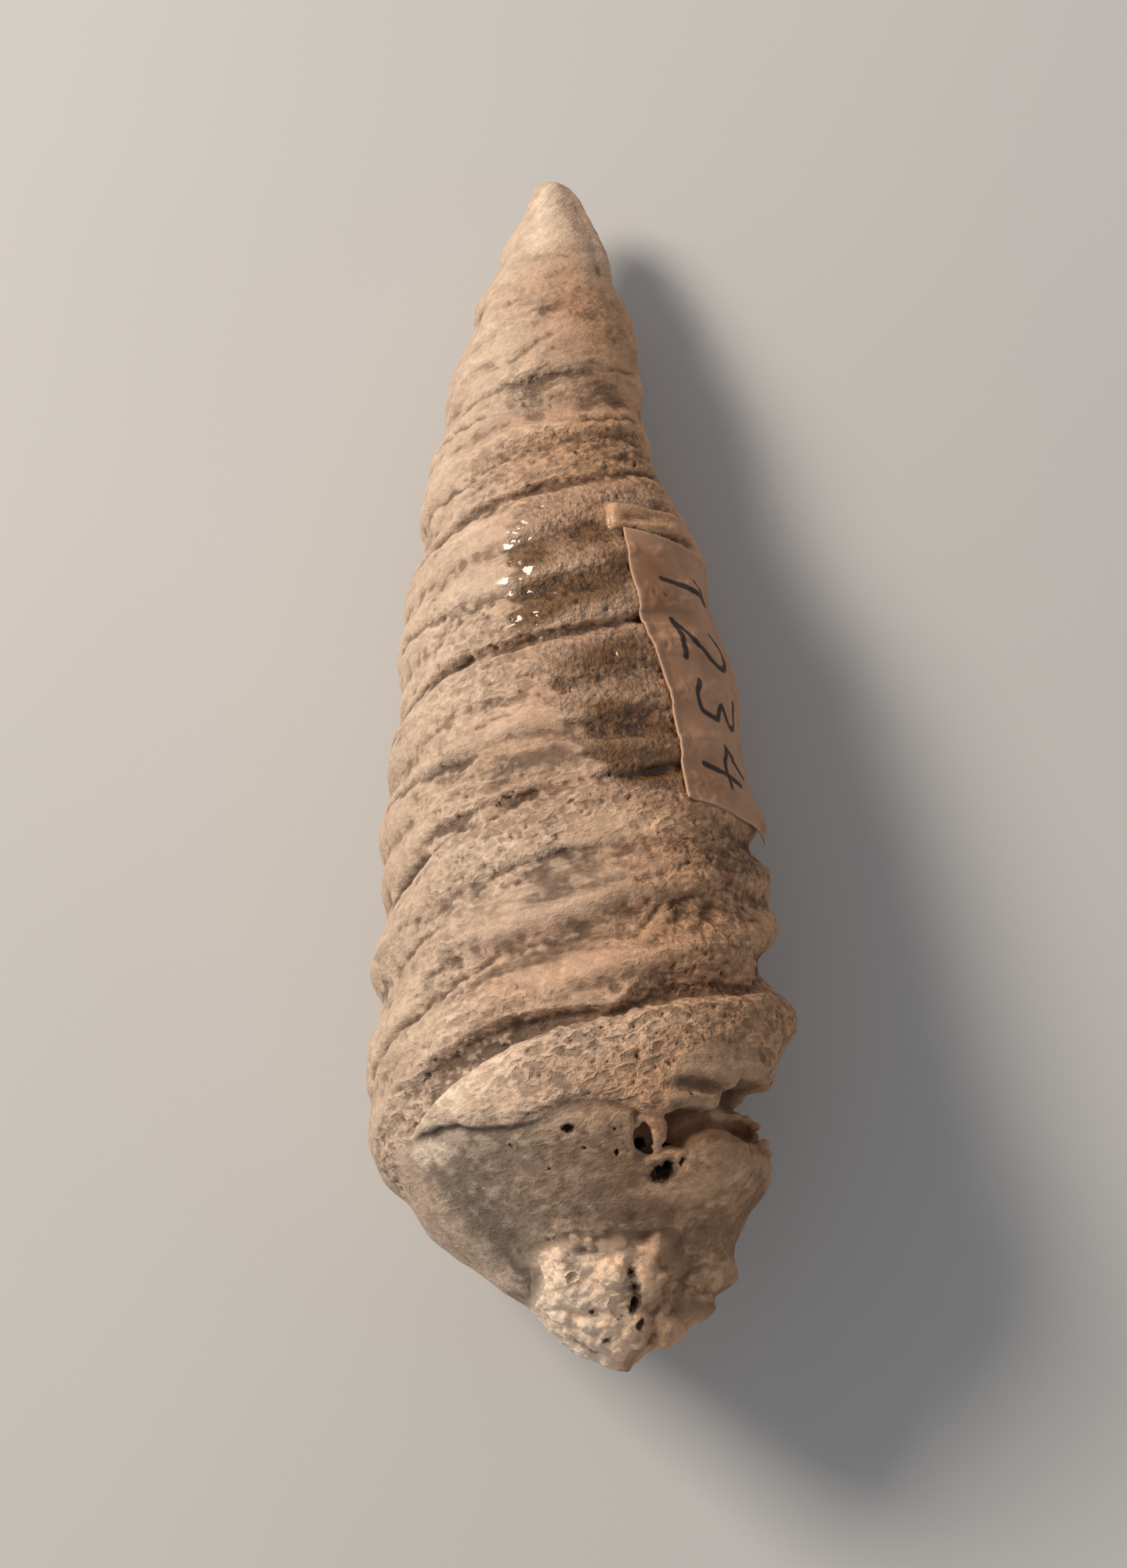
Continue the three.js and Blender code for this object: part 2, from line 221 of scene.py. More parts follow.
# Cracks: distance and angle of both ends, half the width, depth
CRACKS = [
    (52.9, -51.5, 51.6, -46, 0.14, 0.4), (52.3, -5, 52.4, 7, 0.09, 0.25),
    (51.9, 17, 51.3, 27, 0.1, 0.3), (55.5, 15, 53.3, 25, 0.16, 0.4),
    (53.2, 26, 52.2, 41, 0.14, 0.25), (15.1, -22, 14.6, -9, 0.14, 0.2),
    (13.9, -6.5, 13.7, -3.5, 0.14, 0.3), (13.5, 1, 13.2, 6, 0.12, 0.2),
    (47.3, -24, 45.9, -9, 0.16, 0.4), (58.2, -53, 57.6, -39, 0.14, 0.3),
    (60.9, -38, 60.3, -25, 0.12, 0.25), (64.9, -26, 64.2, -14, 0.08, 0.12),
    (10.5, -43, 10.4, -38, 0.12, 0.15), (9.6, -24, 9.5, -20, 0.12, 0.15),
    (20.0, 16, 18.7, 60, 0.16, 0.4), (75.7, 43, 73.7, 58, 0.15, 0.35),
    (54.6, -58, 53.4, -40, 0.14, 0.35), (50.2, -10, 49.6, 8, 0.1, 0.25),
    (41.2, -30, 40.6, -14, 0.12, 0.25), (22.9, -30, 22.4, -8, 0.13, 0.25),
    (39.0, -78, 37.0, -54, 0.34, 0.85), (37.0, -54, 36.0, -32, 0.3, 0.6),   # seams on the left
    (28.4, -80, 26.8, -46, 0.26, 0.6), (26.8, -46, 26.1, -24, 0.22, 0.4),
    (50.2, -76, 48.3, -46, 0.3, 0.7), (48.3, -46, 47.2, -28, 0.22, 0.4),
    (61.0, -78, 58.1, -45, 0.3, 0.75), (58.1, -45, 56.1, -22, 0.18, 0.35),
    (33.2, -78, 32.8, -42, 0.25, 0.35), (43.9, -76, 43.0, -28, 0.22, 0.4),
    (50.9, -24, 50.2, -6, 0.12, 0.3), (55.9, -20, 55.4, 4, 0.14, 0.25),
    (19.8, -72, 18.9, -30, 0.2, 0.35), (24.4, -72, 23.6, -34, 0.16, 0.25),
]

# Lumps that stand on the stone: distance, angle, how deep the centre lies below the surface, half
# the size across, along and outward
LUMPS = [
    (75.2, -6, 1.1, 4.1, 4.0, 2.1),    # crust at the tip of the base
    (77.2, 12, 0.9, 3.2, 2.6, 1.7),
    (77.3, 60, 0.8, 2.1, 1.4, 1.7),
    (78.5, 30, 0.7, 1.6, 1.5, 1.3),
    (78.7, 30, 0.2, 1.35, 0.9, 0.9),
    (72.7, -12, -0.1, 0.38, 0.6, 0.36),
    (72.8, -6, -0.1, 0.34, 0.55, 0.36),
    (73.0, 26, -0.1, 0.5, 0.9, 0.45),
    (74.1, 3, -0.75, 0.8, 0.85, 0.55),
    (74.4, 31, -0.4, 0.5, 0.45, 0.4),
    (75.0, -33, -0.6, 0.9, 0.9, 0.5),
    (76.0, -36, -0.7, 0.7, 0.6, 0.5),
    (76.6, -17, -0.8, 0.7, 0.6, 0.5),
    (76.6, 42, -0.3, 0.5, 1.1, 0.5),
    (77.6, 30, -0.4, 0.5, 0.9, 0.5),
    (68.6, 17.4, 0.1, 0.5, 0.3, 0.4),      # ledge between the holes of the mouth
    (68.45, 20.4, 0.1, 0.5, 0.3, 0.45),
    (68.2, 23.4, 0.15, 0.5, 0.32, 0.45),
    (68.3, 25.8, 0.1, 0.35, 0.4, 0.45),
    (65.7, 49, -0.05, 0.5, 0.25, 0.3),     # curled rim of the ear
    (65.75, 54, -0.15, 0.5, 0.25, 0.3),
    (65.9, 59, -0.35, 0.5, 0.27, 0.3),
    (66.3, 62.5, -0.5, 0.3, 0.4, 0.3),
    (66.8, 61, -0.55, 0.35, 0.3, 0.3),
]
FLAKE = [                              # a pale leaf that arches over the first hole
    (66.75, 12.4, 0.35, 0.3, 0.2, 0.2), (66.4, 13.8, 0.15, 0.4, 0.26, 0.22),
    (66.3, 15.8, 0.0, 0.5, 0.34, 0.24), (66.55, 17.6, -0.05, 0.52, 0.5, 0.26),
    (67.0, 18.9, -0.05, 0.5, 0.56, 0.26), (67.5, 19.4, 0.05, 0.46, 0.5, 0.24),
    (67.95, 19.2, 0.25, 0.36, 0.4, 0.22),
]

# Holes: distance, angle, how deep the centre lies below the surface, half the size across, along
# and inward
HOLES = [
    (67.5, 15.6, 0.6, 0.42, 0.5, 1.4),
    (67.6, 24.4, 0.2, 0.42, 0.17, 0.7),
    (69.3, 22.8, 0.4, 0.5, 0.62, 1.7),
    (69.45, 20.2, 0.1, 0.45, 0.5, 0.6),
    (68.75, 26.9, 0.2, 0.13, 0.3, 0.7),
    (75.6, 17.2, -0.9, 0.26, 0.68, 1.3),
    (76.7, 23.8, -0.6, 0.2, 0.34, 1.2),
    (74.15, 14.1, -0.7, 0.17, 0.22, 0.9),
    (74.75, 16.2, -0.9, 0.2, 0.2, 0.7),
    (77.4, -5.4, -1.1, 0.17, 0.17, 0.8),
    (75.9, -12, -1.2, 0.12, 0.2, 0.7),
    (67.0, -6.0, 0, 0.34, 0.26, 0.6),
    (68.3, 6.8, 0, 0.12, 0.2, 0.7),
    (67.1, 6.2, 0, 0.1, 0.12, 0.7),
    (68.0, -2.4, 0, 0.1, 0.1, 0.7),
    (68.9, -14, 0, 0.1, 0.08, 0.7),
    (65.2, 26.5, 0.5, 0.2, 0.12, 0.7),
    (75.4, 10.5, -1.3, 1.1, 1.15, 0.5),    # shallow bowls in the crust
    (73.95, -16.6, -1.0, 0.36, 0.25, 0.3),
]

SHALLOW = 0.6                          # holes less deep than this stay as pale as the stone

# Dark patches: dirt that the stone has taken up, and painted shade along the seams and in the oval
# hollow: distance, angle, spread along the axis and round it, strength, slope
DIRT_AND_SHADE = [
    (43.9, -9, 1.0, 15, 1.6, -0.03), (52.0, -4, 1.6, 17, 0.9, -0.03),
    (50.2, -4, 0.5, 8, 0.7, -0.03), (17.3, -6, 1.1, 15, 0.7, -0.02), (18.6, -8, 0.6, 18, 0.6, -0.03),
    (15.8, 22, 1.5, 22, 0.6, -0.02), (46.3, -8, 0.5, 14, 0.7, -0.03), (55.8, -4, 1.2, 16, 0.7, -0.05),
    (61.3, -22, 0.8, 18, 1.3, -0.06), (57.8, 24, 1.2, 18, 0.4, -0.03),
    (17.2, 40, 1.2, 18, 0.7, -0.01), (11.2, 4, 0.7, 16, 0.4, -0.03),
    (49.2, 58, 1.4, 24, 1.3, -0.03), (55.6, 62, 1.1, 20, 0.2, -0.04),
    (75.5, 12, 0.9, 10, 0.6, 0), (77.9, -40, 0.6, 20, 0.7, 0), (66.3, -44, 0.5, 4, 0.8, 0),
    (21.8, 36, 1.6, 26, 0.7, -0.02), (73.95, -16.6, 0.3, 4, 0.6, 0), (64.75, 31, 0.6, 9, 1.3, 0.01),
    (57, -22, 0.7, 14, 0.5, -0.04), (24.2, -32, 0.5, 16, 0.5, -0.04), (26.2, -18, 0.6, 16, 0.4, -0.05),
    (38.1, -66, 0.6, 13, 1.2, -0.08), (49.3, -62, 0.6, 12, 0.8, -0.07), (28.0, -66, 0.4, 14, 0.6, -0.05),
    (53.2, -62, 0.7, 12, 1.0, -0.06), (60.0, -62, 0.5, 14, 0.5, -0.07), (71, -64, 1.5, 12, 0.4, 0),
    (27.6, -115, 0.4, 24, 0.7, -0.03), (37.3, -115, 0.5, 24, 0.9, -0.03),
    (43.3, -115, 0.4, 24, 0.6, -0.03), (50.9, -115, 0.5, 24, 0.9, -0.03),
    (57.2, -115, 0.5, 24, 0.8, -0.03), (63.0, -115, 0.4, 24, 0.7, -0.03),
]

# Pale patches, partly worn places and partly painted highlight on facets that face the light, such
# as the top of the crust and the cheek: the same
PALE_WEAR_AND_HIGHLIGHT = [
    (2.6, -2, 3.0, 26, 1.5, 0), (5.8, -6, 0.9, 16, 1.0, 0), (64.0, -30, 1.6, 22, 0.6, -0.06),
    (62.9, -30, 1.0, 18, 0.4, -0.08), (20.6, 2, 0.4, 17, 0.9, -0.012),
    (67, -50, 0.7, 9, 0.8, 0), (70, 40, 2.4, 22, 0.6, 0), (38.4, -30, 1.3, 18, 0.4, -0.03),
    (49.0, -20, 1.3, 22, 0.4, -0.03), (62, 8, 1.1, 14, 0.4, 0), (74.6, 62, 2.0, 30, 0.5, 0),
    (31.2, -4, 0.3, 26, 0.6, -0.03), (27.6, -38, 0.5, 14, 0.4, -0.05), (59.2, -30, 0.6, 22, 0.4, -0.04),
    (48.2, 20, 1.2, 16, 0.8, -0.02), (57, 12, 0.8, 18, 0.4, -0.04), (70.2, 20, 0.5, 10, 0.5, 0),
    (60.5, 22, 1.0, 14, 0.5, -0.04), (73.2, -12, 1.4, 14, 1.5, 0),
]

# Rusty stains: the same
RUST = [
    (71.0, 22, 0.8, 14, 0.5, 0), (72.1, 49, 0.7, 6, 0.6, 0), (66.8, 38, 0.8, 20, 1.2, 0),
    (67.0, 25, 0.9, 6, 0.9, 0), (66.1, 57, 0.4, 7, 1.3, 0), (69.4, 12, 1.0, 12, 0.3, 0),
    (50.5, 48, 1.6, 18, 0.4, -0.03), (54.2, 40, 1.0, 20, 0.4, -0.05),
]

# Where the varnish has soaked in and darkened the stone: the same
SOAKED = [
    (29.8, -11, 1.0, 8, 1.3, -0.03), (33.2, -7, 1.2, 12, 2.0, -0.05), (32.2, 15, 1.0, 9, 1.2, -0.03),
    (28.4, 14, 0.9, 10, 1.0, -0.02), (39.0, -1, 1.1, 6, 0.4, 0), (37.4, 13, 1.0, 10, 0.6, -0.02),
    (36.4, 24, 0.8, 8, 0.6, 0), (41.8, 13, 0.9, 8, 0.8, -0.03), (41.9, 27, 0.7, 8, 1.0, 0),
    (44.3, 25, 1.0, 10, 2.0, -0.02), (40.6, 16, 0.5, 8, 0.6, 0), (43.8, 8, 0.6, 7, 0.8, -0.03),
    (30.5, 24, 0.8, 6, 0.9, 0), (40.5, 20, 4.5, 15, 0.3, 0),
]

# The label: the angle of its left and right edge by distance down the paper, and the distance of
# its top and bottom edge by the share of its width, in millimetres and degrees
LABEL_LEFT = [
    (0, 26.3), (1.6, 27.1), (3.8, 27.6), (6.6, 28.4), (8.6, 31.4), (10.7, 34.2), (12.8, 35.5),
    (15.4, 35.8), (18.6, 36.4)]
LABEL_RIGHT = [(0, 82), (6, 83), (12, 81), (18.6, 79)]
LABEL_TOP = [(0, 28.0), (0.35, 28.2), (1, 28.6)]
LABEL_BOTTOM = [(0, 46.2), (0.5, 46.5), (0.85, 46.9), (1, 47.3)]
PAPER = (18.6, 8.9)                    # length and width

# Hand-written figures, as strokes in a box one unit wide and high
FIGURES = {
    "1": [[(0.2, 0.7), (0.5, 1), (0.45, 0)]],
    "2": [[(0.05, 0.75), (0.2, 0.97), (0.5, 1), (0.72, 0.82), (0.6, 0.5), (0.03, 0.02),
           (0.35, 0.06), (0.85, 0)]],
    "3": [[(0.1, 0.93), (0.5, 1), (0.68, 0.8), (0.35, 0.55), (0.7, 0.4), (0.66, 0.1), (0.35, 0),
           (0.02, 0.12)]],
    "4": [[(0.35, 1), (0.03, 0.38), (0.85, 0.42)], [(0.66, 0.75), (0.55, -0.1)]],
}
WRITING = "1234"                       # plain figures
FIGURE_SIZE = (3.2, 4.4)               # width and height of a figure
FIRST_FIGURE = (1.7, 2.1)              # down and across the paper
FIGURE_STEP = (4.1, 0.15)
PEN = 0.22                             # half the width of a pen stroke

# The smooth fold of stone above the label: where it starts and ends along the axis and round it
FOLD_ALONG = (26.0, 26.4, 27.7, 28.0)
FOLD_ROUND = (20, 23.5, 80, 95)

# The patch of clear varnish round the label: distance and angle of its left edge, where it starts
# and ends along the axis, and where it runs out under the paper
VARNISH_LEFT = [
    (24, 10), (25.7, -10), (27.9, -21), (31.3, -19), (34.6, -17), (36, -12), (38, -9), (41, -3),
    (42.5, 3), (45.8, 8)]
VARNISH_ALONG = (23.5, 26, 45.6, 46.1)
VARNISH_RIGHT = (36, 50)

# The pale crust at the tip of the base: the place of its middle, and how far it reaches all round
CRUST_MIDDLE = (75.7, -2.0)
CRUST_REACH = (4.1, 5.5)
CRUST_START = (75.7, 76.8)             # the distance past which it covers the whole tip

# The light and the camera: directions, and places in millimetres
KEY_AIM = (-0.92, 0.55, 1.0)
KEY_DISTANCE = 420.0
FLOOR_SIZE = 3000.0
CAMERA_DISTANCE = 250.0
CAMERA_TILT = math.radians(11.0)
CAMERA_ROLL = math.radians(-2.95)
CAMERA_TARGET = (-0.2255, -41.3817, 3.5969)    # from the start of the axis


# Curves and places

def curve_through(rows):
    """A smooth curve through a table of (x, y) rows, with no overshoot between them."""
    xs, ys = np.array(rows, float).T
    step = np.diff(xs)
    slope = np.diff(ys) / step
    product = slope[:-1] * slope[1:]
    total = np.where(product > 0, slope[:-1] + slope[1:], 1)
    tangent = np.concatenate([slope[:1], np.where(product > 0, 2 * product / total, 0), slope[-1:]])

    def value(x):
        inside = np.clip(x, xs[0], xs[-1])
        i = np.clip(np.searchsorted(xs, inside) - 1, 0, len(xs) - 2)
        t = (inside - xs[i]) / step[i]
        rise = t * t * (3 - 2 * t)
        return (ys[i] * (1 - rise) + ys[i + 1] * rise
                + step[i] * t * (1 - t) * (tangent[i] * (1 - t) - tangent[i + 1] * t))
    return value


def columns_of(table):
    """One smooth curve for each column after the first of a table."""
    return [curve_through([(row[0], row[i]) for row in table]) for i in range(1, len(table[0]))]


outline_at = curve_through(OUTLINE)
bend_at = curve_through(BEND)
outer_edge_at = curve_through(OUTER_EDGE)
inner_edge_at = curve_through(INNER_EDGE)
left_flank_at = curve_through(LEFT_FLANK)
right_flank_at = curve_through(RIGHT_FLANK)
flank_path_at = curve_through(FLANK_PATH)
seam_upper_at, seam_lower_at, seam_soft_at, seam_depth_at = columns_of(LAST_SEAM)
cheek_top_at, gap_depth_at = columns_of(MOUTH)


def ramp(x, low, high):
    """A smooth step from 0 at the low end to 1 at the high end."""
    t = np.clip((np.asarray(x, float) - low) / np.maximum(high - low, TINY), 0, 1)
    return t * t * (3 - 2 * t)


def plateau(x, a, b, c, d):
    """Rises from 0 to 1 between a and b, and falls back between c and d."""
    return ramp(x, a, b) * (1 - ramp(x, c, d))


def bell(x):
    """1 at 0, and nearly 0 past 2 on both sides."""
    return np.exp(-np.square(x))


def soft_noise(points, scale, seed):
    """Smooth noise between 0 and 1 for each point, from a few waves."""
    rng = np.random.default_rng(seed)
    total = 0
    for _ in range(14):
        direction = rng.normal(size=3)
        direction *= scale * rng.uniform(0.6, 1.5) / np.linalg.norm(direction)
        total = total + np.sin(points / MM @ direction + rng.uniform(0, 2 * math.pi))
    return 0.5 + 0.5 * np.tanh(total / 3.2)


def ragged(angle, seed=0):
    """A jagged line round the shell, about one unit up and down."""
    turns = np.radians(np.asarray(angle, float))
    ring = 13 * MM * np.stack([np.sin(turns), np.cos(turns), 0 * turns], -1)
    return sum(size * (2 * soft_noise(ring, scale, seed * 3 + i) - 1)
               for i, (scale, size) in enumerate(((0.6, 0.7), (1.9, 0.45), (5.5, 0.3))))


def axis_start():
    """The point of the axis at the apex, in metres."""
    corners = np.array([v.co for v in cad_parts["fossil_shell"].data.vertices])
    apex = corners[corners[:, 1].argmax()]
    return apex - np.array([BEND[0][1] * MM, 0, 0])


AXIS_START = axis_start()
ALONG = np.array([0, -math.cos(AXIS_TILT), math.sin(AXIS_TILT)])
SIDE = np.array([1.0, 0, 0])
TOP = np.array([0, math.sin(AXIS_TILT), math.cos(AXIS_TILT)])


def shell_points(distance, angle, radius):
    """Points in metres from distances in millimetres and angles in degrees."""
    distance, angle, radius = np.broadcast_arrays(distance, angle, radius)
    turns = np.radians(angle)[..., None]
    out = np.sin(turns) * SIDE + np.cos(turns) * TOP
    distance, radius = distance[..., None], radius[..., None]
    return AXIS_START + MM * (bend_at(distance) * SIDE + distance * ALONG + radius * out)


def shell_places(points):
    """The distance, angle and radius of points in metres."""
    local = (points - AXIS_START) / MM
    distance = local @ ALONG
    side, top = local @ SIDE - bend_at(distance), local @ TOP
    return distance, np.degrees(np.arctan2(side, top)), np.hypot(side, top)


# Meshes

def mesh_points(mesh):
    """The points of a mesh, one in each row."""
    points = np.empty(len(mesh.vertices) * 3)
    mesh.vertices.foreach_get("co", points)
    return points.reshape(-1, 3)


def set_mesh_points(mesh, points):
    """Moves the points of a mesh."""
    mesh.vertices.foreach_set("co", np.asarray(points, np.float32).ravel())
    mesh.update()


def new_object(name, data):
    """An object in the scene that holds a mesh, a light or a camera."""
    thing = bpy.data.objects.new(name, data)
    bpy.context.scene.collection.objects.link(thing)
    return thing


def discard(thing):
    """Removes an object and its mesh."""
    mesh = thing.data
    bpy.data.objects.remove(thing)
    bpy.data.meshes.remove(mesh)


def round_mesh(name, rows):
    """A closed mesh from rows of points round the axis, whose first and last row lie on the axis."""
    count, columns = rows.shape[:2]
    inner = rows[1:-1].reshape(-1, 3)
    points = np.vstack([rows[0, :1], inner, rows[-1, :1]])
    ring = np.arange(columns)
    following = (ring + 1) % columns
    faces = [(0, 1 + a, 1 + b) for a, b in zip(ring, following)]
    for row in range(count - 3):
        start, below = 1 + row * columns, 1 + (row + 1) * columns
        faces += [(start + a, below + a, below + b, start + b) for a, b in zip(ring, following)]
    start, end = 1 + (count - 3) * columns, len(points) - 1
    faces += [(start + a, end, start + b) for a, b in zip(ring, following)]
    mesh = bpy.data.meshes.new(name)
    mesh.from_pydata(points.tolist(), [], [tuple(map(int, f)) for f in faces])
    return mesh


def bake_modifiers(thing):
    """Puts the result of an object's modifiers in its mesh and removes them."""
    depsgraph = bpy.context.evaluated_depsgraph_get()
    old = thing.data
    mesh = bpy.data.meshes.new_from_object(thing.evaluated_get(depsgraph), depsgraph=depsgraph)
    thing.modifiers.clear()
    thing.data = mesh
    mesh.name = thing.name
    bpy.data.meshes.remove(old)
    return thing


def joined_mesh(name, meshes):
    """One mesh of several, with its faces turned outward. The meshes themselves are removed."""
    work = bmesh.new()
    for mesh in meshes:
        work.from_mesh(mesh)
        bpy.data.meshes.remove(mesh)
    bmesh.ops.recalc_face_normals(work, faces=work.faces)
    whole = bpy.data.meshes.new(name)
    work.to_mesh(whole)
    work.free()
    return whole


def store(mesh, name, values):
    """Stores one number for each point of the mesh under a name."""
    attribute = mesh.attributes.get(name) or mesh.attributes.new(name, "FLOAT", "POINT")
    attribute.data.foreach_set("value", np.asarray(values, np.float32))


def read(mesh, name):
    """The numbers that are stored under a name."""
    values = np.empty(len(mesh.vertices))
    mesh.attributes[name].data.foreach_get("value", values)
    return values


def shade_smooth(mesh):
    """Makes every face smooth."""
    mesh.polygons.foreach_set("use_smooth", np.ones(len(mesh.polygons), bool))


def relief(mesh, rounds):
    """How far each point lies below its smoothed surroundings, in millimetres."""
    points = mesh_points(mesh)
    ends = np.empty(len(mesh.edges) * 2, int)
    mesh.edges.foreach_get("vertices", ends)
    a, b = ends.reshape(-1, 2).T
    count = len(points)
    neighbours = np.bincount(a, minlength=count) + np.bincount(b, minlength=count)
    smooth = points.copy()
    for _ in range(rounds):
        total = [np.bincount(a, smooth[b, i], count) + np.bincount(b, smooth[a, i], count)
                 for i in range(3)]
        smooth = 0.5 * smooth + 0.5 * np.stack(total, -1) / neighbours[:, None]
    normals = np.empty(count * 3)
    mesh.vertex_normals.foreach_get("vector", normals)
    return ((smooth - points) * normals.reshape(-1, 3)).sum(1) / MM


# Node trees

class Graph:
    """Adds nodes to a tree. Any input may be fed by a number, a colour or another node's output."""

    def __init__(self, tree):
        self.tree = tree

    def node(self, kind, inputs=None, **settings):
        """A new node, with its settings made before its inputs are fed."""
        node = self.tree.nodes.new(kind)
        for name, value in settings.items():
            setattr(node, name, value)
        for key, value in (inputs or {}).items():
            if isinstance(value, bpy.types.NodeSocket):
                self.tree.links.new(value, node.inputs[key])
            else:
                node.inputs[key].default_value = value
        return node

    def link(self, output, socket):
        """Feeds a node's output to a socket."""
        self.tree.links.new(output, socket)

    def math(self, operation, *values, clamp=False):
        """The result of one operation on numbers."""
        node = self.node("ShaderNodeMath", dict(enumerate(values)), operation=operation,
                         use_clamp=clamp)
        return node.outputs[0]

    def add(self, *values):
        """The sum of the values."""
        total = values[0]
        for value in values[1:]:
            total = self.math("ADD", total, value)
        return total

    def times(self, *values):
        """The product of the values."""
        total = values[0]
        for value in values[1:]:
            total = self.math("MULTIPLY", total, value)
        return total

    def minus(self, a, b):
        """The first value less the second."""
        return self.math("SUBTRACT", a, b)

    def vector_math(self, operation, *values):
        """The result of one operation on vectors."""
        node = self.node("ShaderNodeVectorMath", dict(enumerate(values)), operation=operation)
        return node.outputs["Value" if operation == "DOT_PRODUCT" else "Vector"]

    def scaled(self, vector, scale):
        """A vector times a number."""
        node = self.node("ShaderNodeVectorMath", {"Vector": vector, "Scale": scale},
                         operation="SCALE")
        return node.outputs["Vector"]

    def ramp(self, value, low, high, start=0.0, end=1.0):
        """A smooth step from start, where the value is low, to end, where it is high."""
        node = self.node("ShaderNodeMapRange", {
            "Value": value, "From Min": low, "From Max": high, "To Min": start, "To Max": end},
            interpolation_type="SMOOTHSTEP")
        return node.outputs["Result"]

    def curve(self, value, rows):
        """The curve through a table of (x, y) rows."""
        xs, ys = np.array(rows, float).T
        low, high, least, most = xs[0], xs[-1], ys.min(), ys.max()
        place = self.math("DIVIDE", self.minus(value, float(low)), float(high - low))
        node = self.node("ShaderNodeFloatCurve", {"Value": place})
        line = node.mapping.curves[0]
        heights = (ys - least) / (most - least)
        for x, y in zip((xs[1:-1] - low) / (high - low), heights[1:-1]):
            line.points.new(float(x), float(y))
        line.points[0].location = (0, float(heights[0]))
        line.points[-1].location = (1, float(heights[-1]))
        for point in line.points:
            point.handle_type = "AUTO_CLAMPED"
        node.mapping.update()
        return self.add(self.times(node.outputs["Value"], float(most - least)), float(least))

    def noise(self, vector, scale, detail=2.0, roughness=0.5):
        """Smooth noise between 0 and 1."""
        node = self.node("ShaderNodeTexNoise", {
            "Vector": vector, "Scale": scale, "Detail": detail, "Roughness": roughness})
        return node.outputs["Fac"]

    def wobble(self, vector, scale, detail=2.0, roughness=0.5):
        """Smooth noise between -0.5 and 0.5."""
        return self.minus(self.noise(vector, scale, detail, roughness), 0.5)

    def cells(self, vector, scale, smoothness=0.5):
        """How far the nearest of many scattered points is, which makes rounded cells."""
        node = self.node("ShaderNodeTexVoronoi", {
            "Vector": vector, "Scale": scale, "Smoothness": smoothness}, feature="SMOOTH_F1")
        return node.outputs["Distance"]

    def mix(self, factor, a, b, blend="MIX"):
        """A blend from colour a to colour b."""
        # The node has a set of sockets for each kind of data, and these are the colour ones
        node = self.node("ShaderNodeMix", {0: factor, 6: a, 7: b}, data_type="RGBA",
                         blend_type=blend)
        return node.outputs[2]

    def tinted(self, colour, tint):
        """A colour seen through another."""
        return self.mix(1.0, colour, tint, "MULTIPLY")

    def vector(self, x, y, z):
        """A vector from three numbers."""
        return self.node("ShaderNodeCombineXYZ", {"X": x, "Y": y, "Z": z}).outputs["Vector"]

    def drift(self, vector, scale, amount):
        """A noise that moves a pattern about."""
        node = self.node("ShaderNodeTexNoise", {"Vector": vector, "Scale": scale})
        return self.scaled(node.outputs["Color"], amount)

    def grid_place(self):
        """Both coordinates of the points of a flat grid."""
        position = self.node("GeometryNodeInputPosition").outputs["Position"]
        place = self.node("ShaderNodeSeparateXYZ", {"Vector": position})
        return place.outputs["X"], place.outputs["Y"]

    def mask(self, name):
        """The numbers that are stored on the mesh under a name, in either kind of tree."""
        if self.tree.bl_idname == "GeometryNodeTree":
            node = self.node("GeometryNodeInputNamedAttribute", {"Name": name}, data_type="FLOAT")
            return node.outputs["Attribute"]
        return self.node("ShaderNodeAttribute", attribute_name=name).outputs["Fac"]


def open_tree(kind, name, inputs, outputs):
    """A tree with named inputs (name, socket, default) and outputs (name, socket).

    Gives the tree, a Graph to add nodes with, the inputs to read and the outputs to feed.
    """
    tree = bpy.data.node_groups.new(name, kind)
    for title, socket, default in inputs:
        made = tree.interface.new_socket(title, in_out="INPUT", socket_type=socket)
        if default is not None:
            made.default_value = default
    for title, socket in outputs:
        tree.interface.new_socket(title, in_out="OUTPUT", socket_type=socket)
    entry, leave = tree.nodes.new("NodeGroupInput"), tree.nodes.new("NodeGroupOutput")
    return tree, Graph(tree), entry.outputs, leave.inputs


def apply_tree(thing, tree, values):
    """Runs a Geometry Nodes tree on an object and keeps the result as its mesh."""
    modifier = thing.modifiers.new(tree.name, "NODES")
    modifier.node_group = tree
    sockets = {item.name: item.identifier for item in tree.interface.items_tree
               if item.in_out == "INPUT"}
    for name, value in values.items():
        modifier[sockets[name]] = value
    return bake_modifiers(thing)


def place_on_shell(g, distance, radians, radius):
    """The position of a point given by its distance, its angle and its radius."""
    side = g.add(g.curve(distance, BEND), g.times(radius, g.math("SINE", radians)))
    up = g.times(radius, g.math("COSINE", radians))
    back = g.minus(g.times(up, math.sin(AXIS_TILT)), g.times(distance, math.cos(AXIS_TILT)))
    height = g.add(g.times(up, math.cos(AXIS_TILT)), g.times(distance, math.sin(AXIS_TILT)))
    return g.vector_math("ADD", g.scaled(g.vector(side, back, height), MM), tuple(AXIS_START))


def along_the_coil(g, position, stretch):
    """Coordinates in millimetres that stretch a texture along the ribs."""
    local = g.scaled(g.vector_math("SUBTRACT", position, tuple(AXIS_START)), 1 / MM)
    down, side, up = (g.vector_math("DOT_PRODUCT", local, tuple(direction))
                      for direction in (ALONG, SIDE, TOP))
    size = g.math("SQRT", g.add(g.times(side, side), g.times(up, up), 0.5))
    lean = g.times(g.math("DIVIDE", side, size), 1.9)
    return g.vector(g.add(down, lean), g.times(side, 1 / stretch), g.times(up, 1 / stretch))


def close_geometry(g, geometry, material, leave):
    """Ends a Geometry Nodes tree with real geometry that has a material."""
    solid = g.node("GeometryNodeRealizeInstances", {"Geometry": geometry})
    dressed = g.node("GeometryNodeSetMaterial",
                     {"Geometry": solid.outputs["Geometry"], "Material": material})
    g.link(dressed.outputs["Geometry"], leave["Geometry"])


